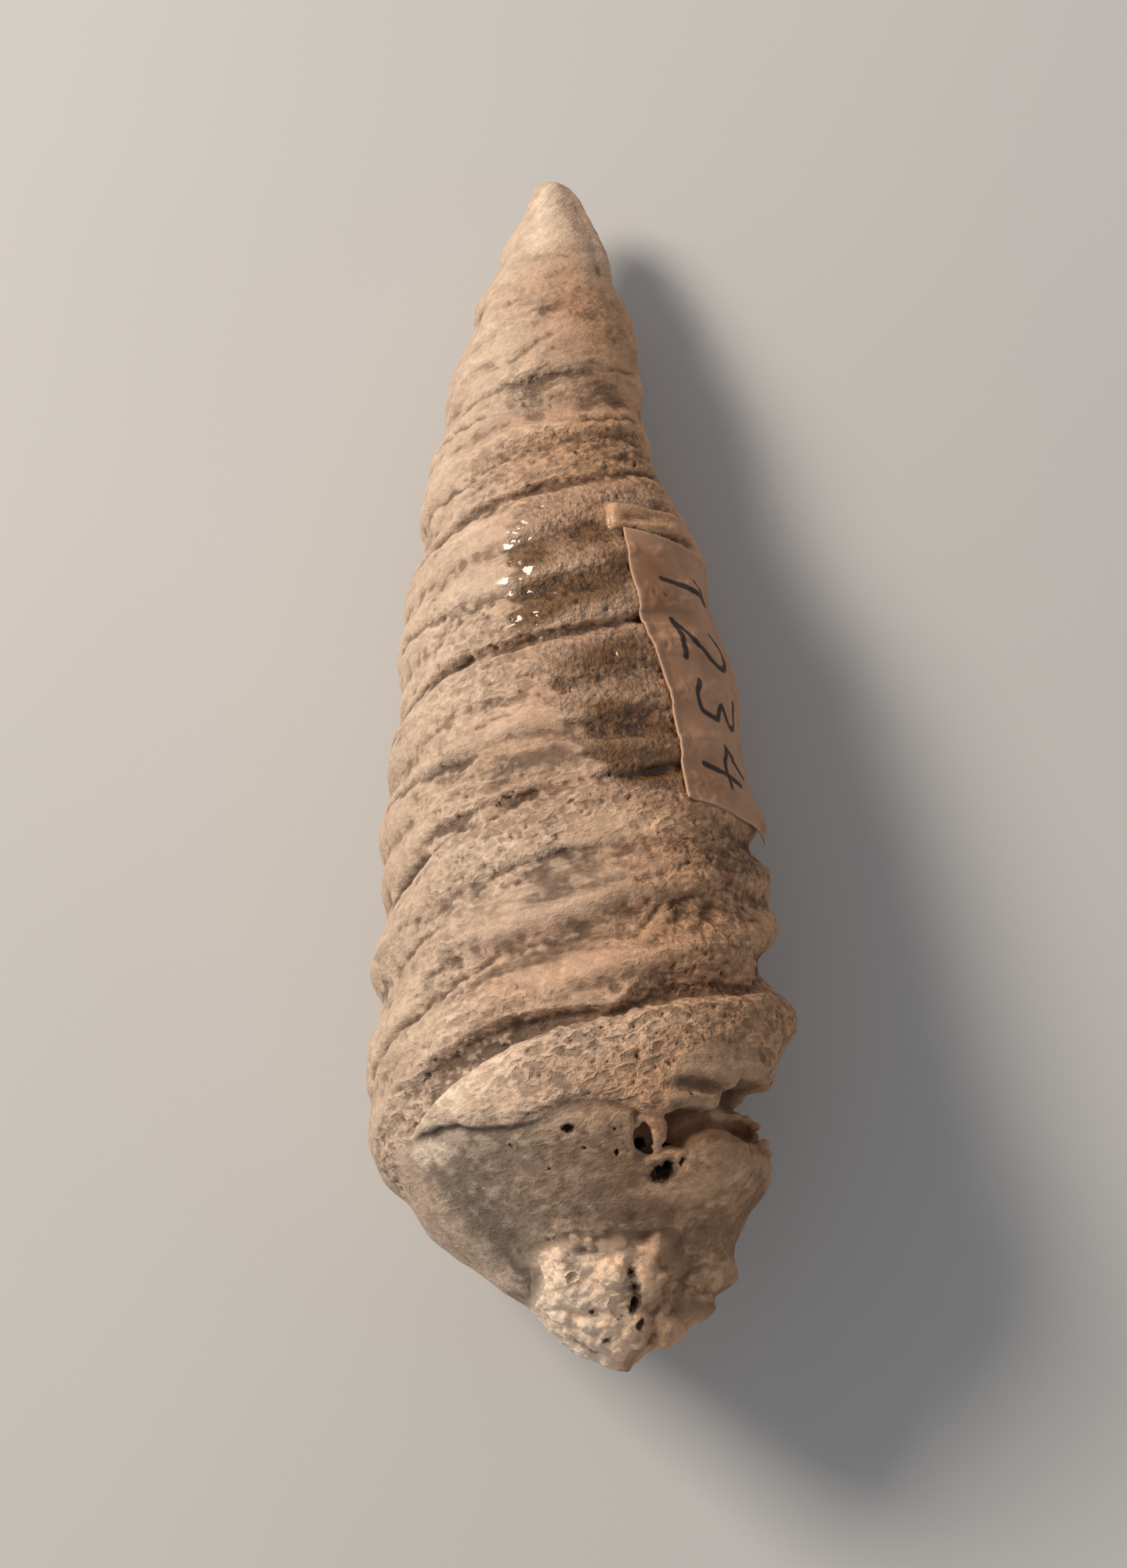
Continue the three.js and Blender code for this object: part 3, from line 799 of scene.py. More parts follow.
def coiled_wall_tree():
    """The wall of the shell, swept round the axis by the rule of the coil."""
    tree, g, given, leave = open_tree("GeometryNodeTree", "Coiled wall", (
        ("Rows", "NodeSocketInt", 640),
        ("Columns", "NodeSocketInt", 560),
        ("Groove depth", "NodeSocketFloat", 1.0),
        ("Wander", "NodeSocketFloat", 0.02),
        ("Uneven wear", "NodeSocketFloat", 0.35),
        ("Material", "NodeSocketMaterial", None),
    ), (("Geometry", "NodeSocketGeometry"),))
    grid = g.node("GeometryNodeMeshGrid", {
        "Size X": 1.0, "Size Y": 1.0, "Vertices X": given["Rows"], "Vertices Y": given["Columns"]})
    grid_x, grid_y = g.grid_place()
    down, turn = g.add(grid_x, 0.5), g.times(grid_y, -1.0)
    degrees, radians = g.times(turn, 360.0), g.times(turn, 2 * math.pi)

    # The rows reach the broken edge, and the last tenth of them closes the end
    edge_share, mean_edge = 0.9, 64.5
    share = g.math("DIVIDE", down, edge_share, clamp=True)
    closing = g.math("DIVIDE", g.minus(1.0, down), 1 - edge_share, clamp=True)
    unevenness = g.minus(g.curve(degrees, INNER_EDGE), mean_edge)
    distance = g.times(share, g.add(mean_edge, g.times(unevenness, closing)))
    outline = g.curve(distance, OUTLINE)
    sine, cosine = g.math("SINE", radians), g.math("COSINE", radians)
    bare = g.vector(g.times(sine, outline), distance, g.times(cosine, outline))

    # The coil is dragged along the axis, less toward the apex, and wanders a little
    skew = g.times(g.curve(degrees, SKEW), g.ramp(distance, 6.0, 26.0))
    wander = g.times(g.wobble(bare, 0.16, 1.5), given["Wander"], 2.0)
    ripple = g.times(g.wobble(bare, 0.6), given["Wander"], 1.5)
    coil = g.add(g.curve(g.minus(distance, skew), COIL), turn, wander, ripple)

    # Each turn of the coil has three grooves, worn away in places and gone on the last rib
    part = g.math("FRACT", coil)
    depth = g.add(*(g.times(g.curve(part, section), g.curve(distance, depths))
                    for section, depths in GROOVES.values()))
    wear = g.times(g.ramp(g.noise(bare, 0.5, 2.5), 0.35, 0.65, 1.0, 0.0), given["Uneven wear"])
    for centre, side, along, across, strength in WORN:
        reach = g.add(
            g.math("POWER", g.times(g.minus(distance, centre), 1 / along), 2.0),
            g.math("POWER", g.times(g.minus(degrees, side), 1 / across), 2.0))
        worn = g.times(g.math("EXPONENT", g.times(reach, -1.0)), strength)
        wear = g.math("MAXIMUM", wear, worn)
    wear = g.minus(1.0, wear)
    on_last_rib = g.times(g.ramp(coil, 7.93, 7.99), g.ramp(degrees, 112.0, 165.0, 1.0, 0.0))
    depth = g.times(depth, wear, g.minus(1.0, on_last_rib), given["Groove depth"])
    radius = g.times(g.minus(outline, depth), closing)
    position = place_on_shell(g, distance, radians, radius)
    moved = g.node("GeometryNodeSetPosition",
                   {"Geometry": grid.outputs["Mesh"], "Position": position})
    closed = g.node("GeometryNodeMergeByDistance",
                    {"Geometry": moved.outputs["Geometry"], "Distance": 0.002 * MM})
    close_geometry(g, closed.outputs["Geometry"], given["Material"], leave)
    return tree


def weathering_tree():
    """Pits, grains and lumps pushed into the stone along its normals."""
    tree, g, given, leave = open_tree("GeometryNodeTree", "Weathering", (
        ("Geometry", "NodeSocketGeometry", None),
        ("Lumps", "NodeSocketFloat", 0.45),
        ("Knots", "NodeSocketFloat", 0.42),
        ("Grain", "NodeSocketFloat", 0.13),
        ("Pits", "NodeSocketFloat", 0.28),
        ("Growth lines", "NodeSocketFloat", 0.2),
        ("Crust knobs", "NodeSocketFloat", 1.0),
        ("Material", "NodeSocketMaterial", None),
    ), (("Geometry", "NodeSocketGeometry"),))

    position = g.node("GeometryNodeInputPosition").outputs["Position"]
    place = g.scaled(position, 1 / MM)
    course = along_the_coil(g, position, 2.6)
    rough, crust, belt = g.mask("rough"), g.mask("crust"), g.mask("belt")
    lumps = g.times(g.wobble(place, 0.33), given["Lumps"])
    knots = g.times(g.wobble(course, 0.9, 3.0, 0.6), given["Knots"],
                    g.add(0.25, g.times(rough, 0.7)), g.ramp(belt, 0.0, 1.0, 1.0, 0.6))
    drift = g.drift(place, 1.3, 0.8)
    warped = g.vector_math("ADD", place, drift)
    warped_course = g.vector_math("ADD", along_the_coil(g, position, 1.7), drift)
    grain = g.times(g.minus(0.4, g.cells(warped_course, 2.2, 0.35)), given["Grain"], rough)
    fine = g.times(g.wobble(place, 2.6, 2.5, 0.6), given["Grain"], g.add(0.1, rough))
    pit_noise = g.noise(g.vector_math("ADD", place, (31.0, 7.0, 3.0)), 1.5, 3.0, 0.62)
    pits = g.times(g.ramp(pit_noise, 0.6, 0.74), given["Pits"], rough,
                   g.add(1.0, g.times(belt, 0.8)))
    lines_place = g.vector_math("MULTIPLY", place, (1.0, 0.14, 1.0))
    lines = g.times(g.wobble(lines_place, 1.1), given["Growth lines"],
                    g.add(0.5, g.times(belt, 0.3)))
    knobs = g.add(g.times(g.minus(0.45, g.cells(warped, 0.9)), 0.26),
                  g.times(g.minus(0.4, g.cells(warped, 2.3)), 0.1),
                  g.times(g.wobble(place, 0.8, 3.0, 0.6), 0.35))
    knobs = g.times(knobs, crust, given["Crust knobs"])
    body = g.add(lumps, knots, grain, fine, lines, knobs)
    offset = g.times(g.minus(body, pits), MM)
    normal = g.node("GeometryNodeInputNormal").outputs["Normal"]
    moved = g.node("GeometryNodeSetPosition",
                   {"Geometry": given["Geometry"], "Offset": g.scaled(normal, offset)})
    close_geometry(g, moved.outputs["Geometry"], given["Material"], leave)
    return tree


def draped_sheet_tree():
    """A thin closed sheet that lies on the stone and follows its ribs."""
    tree, g, given, leave = open_tree("GeometryNodeTree", "Draped sheet", (
        ("Stone", "NodeSocketObject", None),
        ("Cells along", "NodeSocketInt", 200),
        ("Cells across", "NodeSocketInt", 96),
        ("Thickness", "NodeSocketFloat", 0.12),
        ("Glue", "NodeSocketFloat", 0.05),
        ("Stiffness", "NodeSocketInt", 160),
        ("Corner lift", "NodeSocketFloat", 0.6),
        ("Material", "NodeSocketMaterial", None),
    ), (("Geometry", "NodeSocketGeometry"),))
    length, width = PAPER
    grid = g.node("GeometryNodeMeshGrid", {
        "Size X": length, "Size Y": width, "Vertices X": given["Cells along"],
        "Vertices Y": given["Cells across"]})
    grid_x, grid_y = g.grid_place()
    down, across = g.add(grid_x, length / 2), g.add(grid_y, width / 2)
    share_down, share_across = g.times(down, 1 / length), g.times(across, 1 / width)
    left, right = g.curve(down, LABEL_LEFT), g.curve(down, LABEL_RIGHT)
    degrees = g.add(left, g.times(g.minus(right, left), share_across))
    radians = g.times(degrees, math.pi / 180)
    top, bottom = g.curve(share_across, LABEL_TOP), g.curve(share_across, LABEL_BOTTOM)
    distance = g.add(top, g.times(g.minus(bottom, top), share_down))

    # The sheet comes down on the stone from well outside it
    far = 20.0
    start = place_on_shell(g, distance, radians, far)
    inward = g.vector_math("SUBTRACT", place_on_shell(g, distance, radians, far - 1.0), start)
    stone = g.node("GeometryNodeObjectInfo", {"Object": given["Stone"]})
    ray = g.node("GeometryNodeRaycast", {
        "Target Geometry": stone.outputs["Geometry"], "Source Position": start,
        "Ray Direction": inward, "Ray Length": far * MM})
    surface = g.minus(far, g.times(ray.outputs["Hit Distance"], 1 / MM))
    smooth = g.node("GeometryNodeBlurAttribute",
                    {"Value": surface, "Iterations": given["Stiffness"]}).outputs["Value"]
    lift = g.times(g.ramp(share_down, 0.8, 1.0), g.ramp(share_across, 0.5, 1.0),
                   given["Corner lift"])
    curl = g.times(g.ramp(share_across, 0.0, 0.08, 0.14, 0.0), g.ramp(share_down, 0.1, 0.4))
    radius = g.add(g.math("MAXIMUM", smooth, g.minus(surface, 0.02)), given["Glue"], lift, curl)
    named = grid.outputs["Mesh"]
    for title, value in (("down", down), ("across", across)):
        named = g.node("GeometryNodeStoreNamedAttribute", {
            "Geometry": named, "Name": title, "Value": value}, data_type="FLOAT",
            domain="POINT").outputs["Geometry"]
    sheet = g.node("GeometryNodeSetPosition", {
        "Geometry": named, "Position": place_on_shell(g, distance, radians, radius)})
    raised = g.node("GeometryNodeExtrudeMesh", {
        "Mesh": sheet.outputs["Geometry"], "Offset Scale": g.times(given["Thickness"], MM),
        "Individual": False}, mode="FACES")
    under = g.node("GeometryNodeFlipFaces", {"Mesh": sheet.outputs["Geometry"]})
    whole = g.node("GeometryNodeJoinGeometry")
    for part in (raised, under):
        g.link(part.outputs["Mesh"], whole.inputs["Geometry"])
    closed = g.node("GeometryNodeMergeByDistance",
                    {"Geometry": whole.outputs["Geometry"], "Distance": 0.001 * MM})
    close_geometry(g, closed.outputs["Geometry"], given["Material"], leave)
    return tree


# The stone

def forms(rows, distance, angle):
    """The height of a list of swellings and hollows."""
    total = 0
    for centre, side, along, across, height, *slope in rows:
        level = distance - centre - (slope[0] if slope else 0) * (angle - side)
        total = total + height * bell(level / along) * bell((angle - side) / across)
    return total


def crack_depth(distance, angle):
    """How deep the cracks cut."""
    total = 0
    for start, first, end, last, width, depth in CRACKS:
        middle, half = (first + last) / 2, (last - first) / 2
        line = start + (end - start) * np.clip((angle - first) / (last - first), 0, 1)
        wave = 0.1 * np.sin((angle - first) * 0.5) + 0.04 * np.sin((angle - first) * 1.6)
        total = total + depth * bell((distance - line - wave) / width) * (
            1 - ramp(abs(angle - middle) / half, 0.7, 1.15))
    return total


def jaggedness(angle):
    """How far the broken edges stray from a smooth line."""
    return (0.06 + 0.25 * plateau(angle, -58, -50, -24, -8)) * ragged(angle)


def outer_edge(angle):
    """The distance at which the outer layer of the last rib breaks off."""
    return outer_edge_at(angle) + jaggedness(angle)


def inner_edge(angle):
    """The distance at which the whole of the last rib has broken off."""
    return inner_edge_at(angle) + jaggedness(angle)


def core_radius(distance, angle):
    """The radius of the stone inside the shell."""
    bare = plateau(angle, -64, -46, 120, 160) * (1 - ramp(distance, 71, 76))
    bare = bare * (1 - 0.75 * plateau(angle, -26, -8, 12, 30) * (1 - ramp(distance, 66.5, 69)))
    top = cheek_top_at(angle) + 0.12 * ragged(angle, 1)
    depth = gap_depth_at(angle + 1.0 * ragged(distance * 4.4, 4))
    gap = depth * (1 - ramp(distance, top - 0.35, top + 0.25))
    shoulder = 0.55 * ramp(depth, 0, 2) * (1 - ramp(distance, top, top + 1.5))
    outline = outline_at(distance)
    change = forms(STONE_FORMS, distance, angle) - gap - shoulder - CORE_STEP * bare
    return outline + ramp(outline, 0, 3) * (change - crack_depth(distance, angle))


def stone_core():
    """The stone inside the shell, which shows past the broken rib."""
    distance = np.concatenate([[55], np.linspace(56, LENGTH, 170)])
    angle = np.linspace(-180, 180, 480, endpoint=False)
    distance, angle = np.meshgrid(distance, angle, indexing="ij")
    radius = core_radius(distance, angle)
    inside = outline_at(distance) * 0.6
    radius = inside + (radius - inside) * ramp(distance - inner_edge_at(angle), -1.4, -0.6)
    radius[0] = 0
    return round_mesh("core", shell_points(distance, angle, radius))


def fold_at(distance, angle):
    """1 on the smooth fold of stone above the label."""
    return plateau(distance + 0.01 * (angle - 40), *FOLD_ALONG) * plateau(angle, *FOLD_ROUND)


def last_rib(distance, angle):
    """How far the last rib stands out, and how far the seam above it cuts in."""
    upper = seam_upper_at(angle) + 0.16 * ragged(angle, 2)
    lower = seam_lower_at(angle) + 0.12 * ragged(angle, 3)
    soft = seam_soft_at(angle) * (lower - upper)
    trough = seam_depth_at(angle) * ramp(distance, upper - 0.1, upper + soft + 0.1)
    trough = trough * (1 - ramp(distance, lower - 0.4, lower + 0.15))
    belt = BELT_HEIGHT * ramp(distance, lower - 0.2, lower + 0.5) * plateau(angle, -62, -46, 50, 75)
    rounding = 0.35 * ramp(distance, inner_edge_at(angle) - 0.7, inner_edge_at(angle))
    layer = LAYER * ramp(distance, outer_edge_at(angle) - 0.2, outer_edge_at(angle) + 0.2)
    return belt - trough - rounding - layer * plateau(angle, 28, 42, 62, 70)


def sculpt_wall(mesh):
    """Shapes what the rule of the coil leaves out: the last seam, the last rib, hollows, cracks."""
    distance, angle, radius = shell_places(mesh_points(mesh))
    skin = ramp(radius, 0.55 * outline_at(distance), 0.8 * outline_at(distance))
    change = last_rib(distance, angle) + forms(WALL_FORMS, distance, angle)
    change = change + 0.6 * fold_at(distance, angle)
    ruled = radius + change * ramp(distance, 0, 3)
    left_level = distance + flank_path_at(angle) * ramp(distance, 4, 24)
    right_level = distance + 0.05 * ramp(distance, 4, 20) * (np.clip(angle, 40, 130) - 88)
    for height, window in (
            (left_flank_at(left_level), plateau(angle, -155, -115, -64, -38)),
            (right_flank_at(right_level), plateau(angle, 52, 76, 115, 155))):
        ruled = ruled + (outline_at(distance) + height - ruled) * window
    radius = radius + skin * (ruled - crack_depth(distance, angle) - radius)
    shift = jaggedness(angle) * ramp(distance, 61.5, inner_edge_at(angle))
    set_mesh_points(mesh, shell_points(distance + shift, angle, radius))


def surface_frame(distance, angle, depth):
    """A point under the surface of the stone, with the directions across, along and outward."""
    def outline_point(down, round_it):
        return Vector(shell_points(down, round_it, outline_at(down)))

    radius = outline_at(distance)
    if distance > inner_edge_at(angle):
        radius = core_radius(distance, angle)
    along = (outline_point(distance + 0.4, angle) - outline_point(distance - 0.4, angle)).normalized()
    across = (outline_point(distance, angle + 2) - outline_point(distance, angle - 2)).normalized()
    out = along.cross(across).normalized()
    return Vector(shell_points(distance, angle, radius)) - out * depth * MM, across, along, out


def flake_places():
    """Where the parts of the flake lie, over the gap, and their half sizes."""
    for distance, angle, depth, *half_sizes in FLAKE:
        rim = shell_points(distance, angle, outline_at(distance) - CORE_STEP - depth)
        _, across, along, out = surface_frame(distance, angle, 0)
        yield (Vector(rim), across, along, out), half_sizes


def pebble(place, half_sizes, unevenness, seed):
    """A closed uneven ellipsoid at a place given by surface_frame."""
    centre, across, along, out = place
    work = bmesh.new()
    bmesh.ops.create_icosphere(work, subdivisions=4, radius=1)
    for vertex in work.verts:
        direction = vertex.co.copy()
        size = 1 + unevenness * noise.noise(direction * 1.7 + Vector((seed * 7.3, 1.1, 4.2)))
        size += 0.5 * unevenness * noise.noise(direction * 4.1 + Vector((2.6, seed * 5.9, 8.1)))
        x, y, z = (direction[i] * size * half_sizes[i] * MM for i in range(3))
        vertex.co = centre + across * x + along * y + out * z
    bmesh.ops.reverse_faces(work, faces=work.faces)   # the directions are left-handed
    mesh = bpy.data.meshes.new("pebble")
    work.to_mesh(mesh)
    work.free()
    return mesh


def fossil_body(material, settings):
    """The wall, the core and the lumps on it, grown into one stone, with its holes."""
    wall = new_object("wall", bpy.data.meshes.new("wall"))
    apply_tree(wall, coiled_wall_tree(), {
        "Rows": settings.rows, "Columns": settings.columns, "Material": material,
        "Groove depth": settings.groove_depth, "Wander": settings.wander,
        "Uneven wear": settings.uneven_wear})
    sculpt_wall(wall.data)
    meshes = [wall.data.copy(), stone_core()]
    discard(wall)
    for seed, (distance, angle, depth, *half_sizes) in enumerate(LUMPS):
        meshes.append(pebble(surface_frame(distance, angle, depth), half_sizes, 0.25, seed))
    meshes += [pebble(place, half_sizes, 0.1, 3) for place, half_sizes in flake_places()]
    stone = new_object("stone", joined_mesh("stone", meshes))
    remesh = stone.modifiers.new("Grow together", "REMESH")
    remesh.mode = "VOXEL"
    remesh.voxel_size = settings.fineness
    bake_modifiers(stone)
    for seed, (distance, angle, depth, *half_sizes) in enumerate(HOLES, 20):
        cutter = pebble(surface_frame(distance, angle, depth), half_sizes, 0.45, seed)
        tool = new_object("hole", cutter)
        cut = stone.modifiers.new("Hole", "BOOLEAN")
        cut.operation = "DIFFERENCE"
        cut.solver = "MANIFOLD"
        cut.object = tool
        bake_modifiers(stone)
        discard(tool)
    return stone


def near_holes(points):
    """1 for points at or in one of the holes."""
    mask = np.zeros(len(points))
    for distance, angle, depth, *half_sizes in HOLES:
        if half_sizes[2] < SHALLOW:
            continue
        centre, *directions = surface_frame(distance, angle, depth)
        local = (points - np.array(centre)) @ np.array(directions).T / (MM * np.array(half_sizes))
        mask = np.maximum(mask, 1 - ramp(np.linalg.norm(local, axis=1), 1.1, 1.3))
    return mask


def flatten_foot(mesh):
    """Wears the stone flat where it rests."""
    points = mesh_points(mesh)
    floor = CAD_BOX[0][2] + 0.02 * MM
    points[:, 2] = np.maximum(points[:, 2], floor)
    set_mesh_points(mesh, points)


def varnish_at(distance, angle):
    """The patch of clear varnish that was brushed round the label."""
    left = np.interp(distance, *zip(*VARNISH_LEFT))
    edge = angle - left - 2.5 * np.sin(distance * 2.3) - 2 * np.sin(distance * 5.1 + 1)
    patch = ramp(edge, -2, 3) * plateau(distance, *VARNISH_ALONG) * (1 - ramp(angle, *VARNISH_RIGHT))
    fold_end = bell((distance - 27.2) / 0.9) * bell((angle - 19.5) / 3)
    return patch * (1 - fold_at(distance, angle)) * (1 - fold_end)


def crust_on(points, distance, angle):
    """The pale crust at the tip of the base."""
    middle = shell_points(*CRUST_MIDDLE, core_radius(*CRUST_MIDDLE))
    reach = np.linalg.norm(points - middle, axis=1) / MM
    crust = 1 - ramp(reach + 1.6 * (soft_noise(points, 1.6, 5) - 0.5), *CRUST_REACH)
    crust = crust * (1 - ramp(angle, 50, 66)) * ramp(angle, -110, -80)
    slant = 0.025 * np.clip(-angle - 20, 0, 60)
    crust = np.maximum(crust, ramp(distance + slant, *CRUST_START))
    return crust * (1 - 0.55 * ramp(angle, 20, 45))


def flake_on(points):
    """The pale leaf over the first hole."""
    centres = np.array([place[0] for place, _ in flake_places()])
    return 1 - ramp(np.linalg.norm(points[:, None] - centres, axis=2).min(1) / MM, 0.6, 0.85)


def belt_at(distance, angle, past):
    """The last rib, from the seam above it to its broken edge."""
    lower = seam_lower_at(angle)
    belt = ramp(distance, lower - 0.2, lower + 0.3) * (1 - ramp(past, -0.2, 0))
    return belt * plateau(angle, -56, -46, 70, 90)


def seam_at(distance, angle):
    """The trough of the last seam."""
    lower, upper = seam_lower_at(angle), seam_upper_at(angle)
    seam = plateau(distance, upper - 0.3, upper + 0.2, lower - 0.2, lower + 0.2)
    return seam * plateau(angle, -100, -70, 80, 110)


def roughness_on(points, distance, angle, belt, seam, varnish):
    """How rough the wall is, from 0 on its smooth flanks to 1 where it is sugary."""
    top = plateau(angle, -62, -18, 40, 85)
    rough = ramp(soft_noise(points, 0.42, 1), 0.15, 0.85) * (0.15 + 0.85 * top)
    rough = rough * ramp(distance, 7, 18)
    for patch in (
            1.2 * seam,
            bell((distance - 17) / 1.8) * bell((angle + 5) / 18),
            0.7 * plateau(distance, 44, 50, 60, 62) * plateau(angle, 0, 30, 70, 110),
            belt * plateau(angle, -20, 5, 50, 70) * 0.9):
        rough = np.maximum(rough, patch)
    rough = rough * (1 - 0.8 * belt * (1 - ramp(angle, -24, 2)))
    return np.maximum(rough, varnish) * (1 - 0.8 * fold_at(distance, angle))


def mark_surface(mesh):
    """Stores the masks that the weathering and the material read."""
    points = mesh_points(mesh)
    distance, angle, radius = shell_places(points)
    past = distance - inner_edge(angle)
    holes = near_holes(points)
    flake = flake_on(points)
    crust = crust_on(points, distance, angle) * (1 - holes)
    bare = ramp(past, -0.2, 0.1) * plateau(angle, -66, -50, 130, 160)
    stone = bare * (1 - crust) * (1 - flake)
    inner_layer = ramp(distance - outer_edge(angle), -0.1, 0.2) * plateau(angle, 16, 24, 60, 66)
    belt = belt_at(distance, angle, past) * (1 - inner_layer)
    seam = seam_at(distance, angle)
    varnish = varnish_at(distance, angle)
    rough = roughness_on(points, distance, angle, belt, seam, varnish)
    rough = rough * (1 - 0.75 * np.maximum(stone, inner_layer)) * (1 - flake) + 0.1 * (1 - flake)
    # Painted shade: the gap of the mouth and the deep holes are coloured near-black where shade falls in
    # them
    sunk = ramp(core_radius(distance, angle) - radius, 0.3, 1.0)
    sunk = sunk * ramp(past, 0.3, 0.8) * (1 - ramp(distance, 78.2, 78.8))
    sunk = np.maximum(sunk, 0.8 * holes * (1 - 0.4 * ramp(distance, 71, 73)))
    warm = ramp(angle + 24 * (soft_noise(points, 0.5, 3) - 0.5), -50, 45)
    warm = warm * (1 - ramp(angle, 150, 180)) * (0.35 + 0.65 * ramp(distance, 4, 12))
    masks = {
        "bare_core": stone, "crust": crust, "varnish": varnish, "belt": belt, "rough": rough,
        "warm": warm, "sunk": sunk, "inner_layer": inner_layer, "flake": flake,
        "soaked": varnish * np.clip(0.2 + forms(SOAKED, distance, angle), 0, 1)}
    for name, rows in (("dirt", DIRT_AND_SHADE), ("rust", RUST), ("pale", PALE_WEAR_AND_HIGHLIGHT)):
        masks[name] = np.clip(forms(rows, distance, angle), 0, 1)
    for name, values in masks.items():
        store(mesh, name, values)


def smooth_line(corners, steps=8):
    """Points of a smooth line through the corners of a stroke."""
    corners = np.array(corners)
    places = np.arange(len(corners))
    fine = np.linspace(0, len(corners) - 1, steps * (len(corners) - 1) + 1)
    return np.stack([curve_through(list(zip(places, corners[:, i])))(fine) for i in range(2)], -1)


def ink_on(down, across):
    """How much ink lies at places on the paper, from the strokes of the writing."""
    points = np.stack([down, across], -1)
    nearest = np.full(len(points), PAPER[1])
    for number, figure in enumerate(WRITING):
        start = np.array(FIRST_FIGURE) + number * np.array(FIGURE_STEP)
        for stroke in FIGURES[figure]:
            line = start + smooth_line(stroke) * np.array(FIGURE_SIZE)
            for begin, end in zip(line[:-1], line[1:]):
                step = end - begin
                share = np.clip((points - begin) @ step / (step @ step), 0, 1)
                away = np.linalg.norm(points - begin - share[:, None] * step, axis=1)
                nearest = np.minimum(nearest, away)
    return 1 - ramp(nearest, PEN * 0.6, PEN * 1.4)


# Materials

def grain_group():
    """Sugary grains with pits between them: how light they are and how high they stand."""
    tree, g, given, leave = open_tree("ShaderNodeTree", "Grain", (
        ("Position", "NodeSocketVector", None), ("Scale", "NodeSocketFloat", 1.0),
        ("Crumbs", "NodeSocketFloat", 1.0)), (
        ("Tone", "NodeSocketFloat"), ("Height", "NodeSocketFloat")))
    place = g.scaled(given["Position"], given["Scale"])
    fine, finest = g.noise(place, 5.0, 3.0, 0.6), g.noise(place, 11.0, 2.0)
    warped = g.vector_math("ADD", place, g.drift(place, 1.6, 0.7))
    ridges = g.node("ShaderNodeTexNoise", {
        "Vector": warped, "Scale": 1.5, "Detail": 3.0, "Roughness": 0.5, "Offset": 1.0,
        "Gain": 2.0}, noise_type="RIDGED_MULTIFRACTAL").outputs["Fac"]
    crumbs = g.times(g.ramp(ridges, 0.5, 1.65, -0.55, 0.3), given["Crumbs"])
    g.link(g.add(g.ramp(fine, 0.3, 0.7, 0.88, 1.1), g.times(crumbs, 0.4)), leave["Tone"])
    g.link(g.add(g.times(fine, 0.6), g.times(finest, 0.5), crumbs), leave["Height"])
    return tree


def stain_group():
    """A colour with a stain on it, whose edge is broken up by a noise."""
    tree, g, given, leave = open_tree("ShaderNodeTree", "Stain", (
        ("Colour", "NodeSocketColor", None), ("Stain", "NodeSocketColor", None),
        ("Mask", "NodeSocketFloat", 0.0), ("Noise", "NodeSocketFloat", 0.5),
        ("Break-up", "NodeSocketFloat", 1.0), ("Strength", "NodeSocketFloat", 0.8)),
        (("Colour", "NodeSocketColor"),))
    broken = g.add(given["Mask"], g.times(g.minus(given["Noise"], 0.5), given["Break-up"],
                                          g.ramp(given["Mask"], 0.0, 0.35)))
    amount = g.times(g.ramp(broken, 0.05, 1.0), given["Strength"])
    g.link(g.mix(amount, given["Colour"], given["Stain"]), leave["Colour"])
    return tree


def stained(g, group, colour, stain, mask, noise_value, break_up, strength):
    """A colour with a stain laid on it where the mask is high."""
    return g.node("ShaderNodeGroup", {
        "Colour": colour, "Stain": stain, "Mask": mask, "Noise": noise_value,
        "Break-up": break_up, "Strength": strength}, node_tree=group).outputs["Colour"]


def new_material(name):
    """A material, its shader and a graph that adds nodes to it."""
    material = bpy.data.materials.new(name)
    material.use_nodes = True
    return material, material.node_tree.nodes["Principled BSDF"], Graph(material.node_tree)


def bumped(g, shader, height, strength, depth):
    """Makes the shader's surface uneven."""
    bump = g.node("ShaderNodeBump", {
        "Height": height, "Strength": strength, "Distance": depth * MM})
    g.link(bump.outputs["Normal"], shader.inputs["Normal"])


def solid(colour):
    """A colour with nothing showing through."""
    return (*colour, 1)


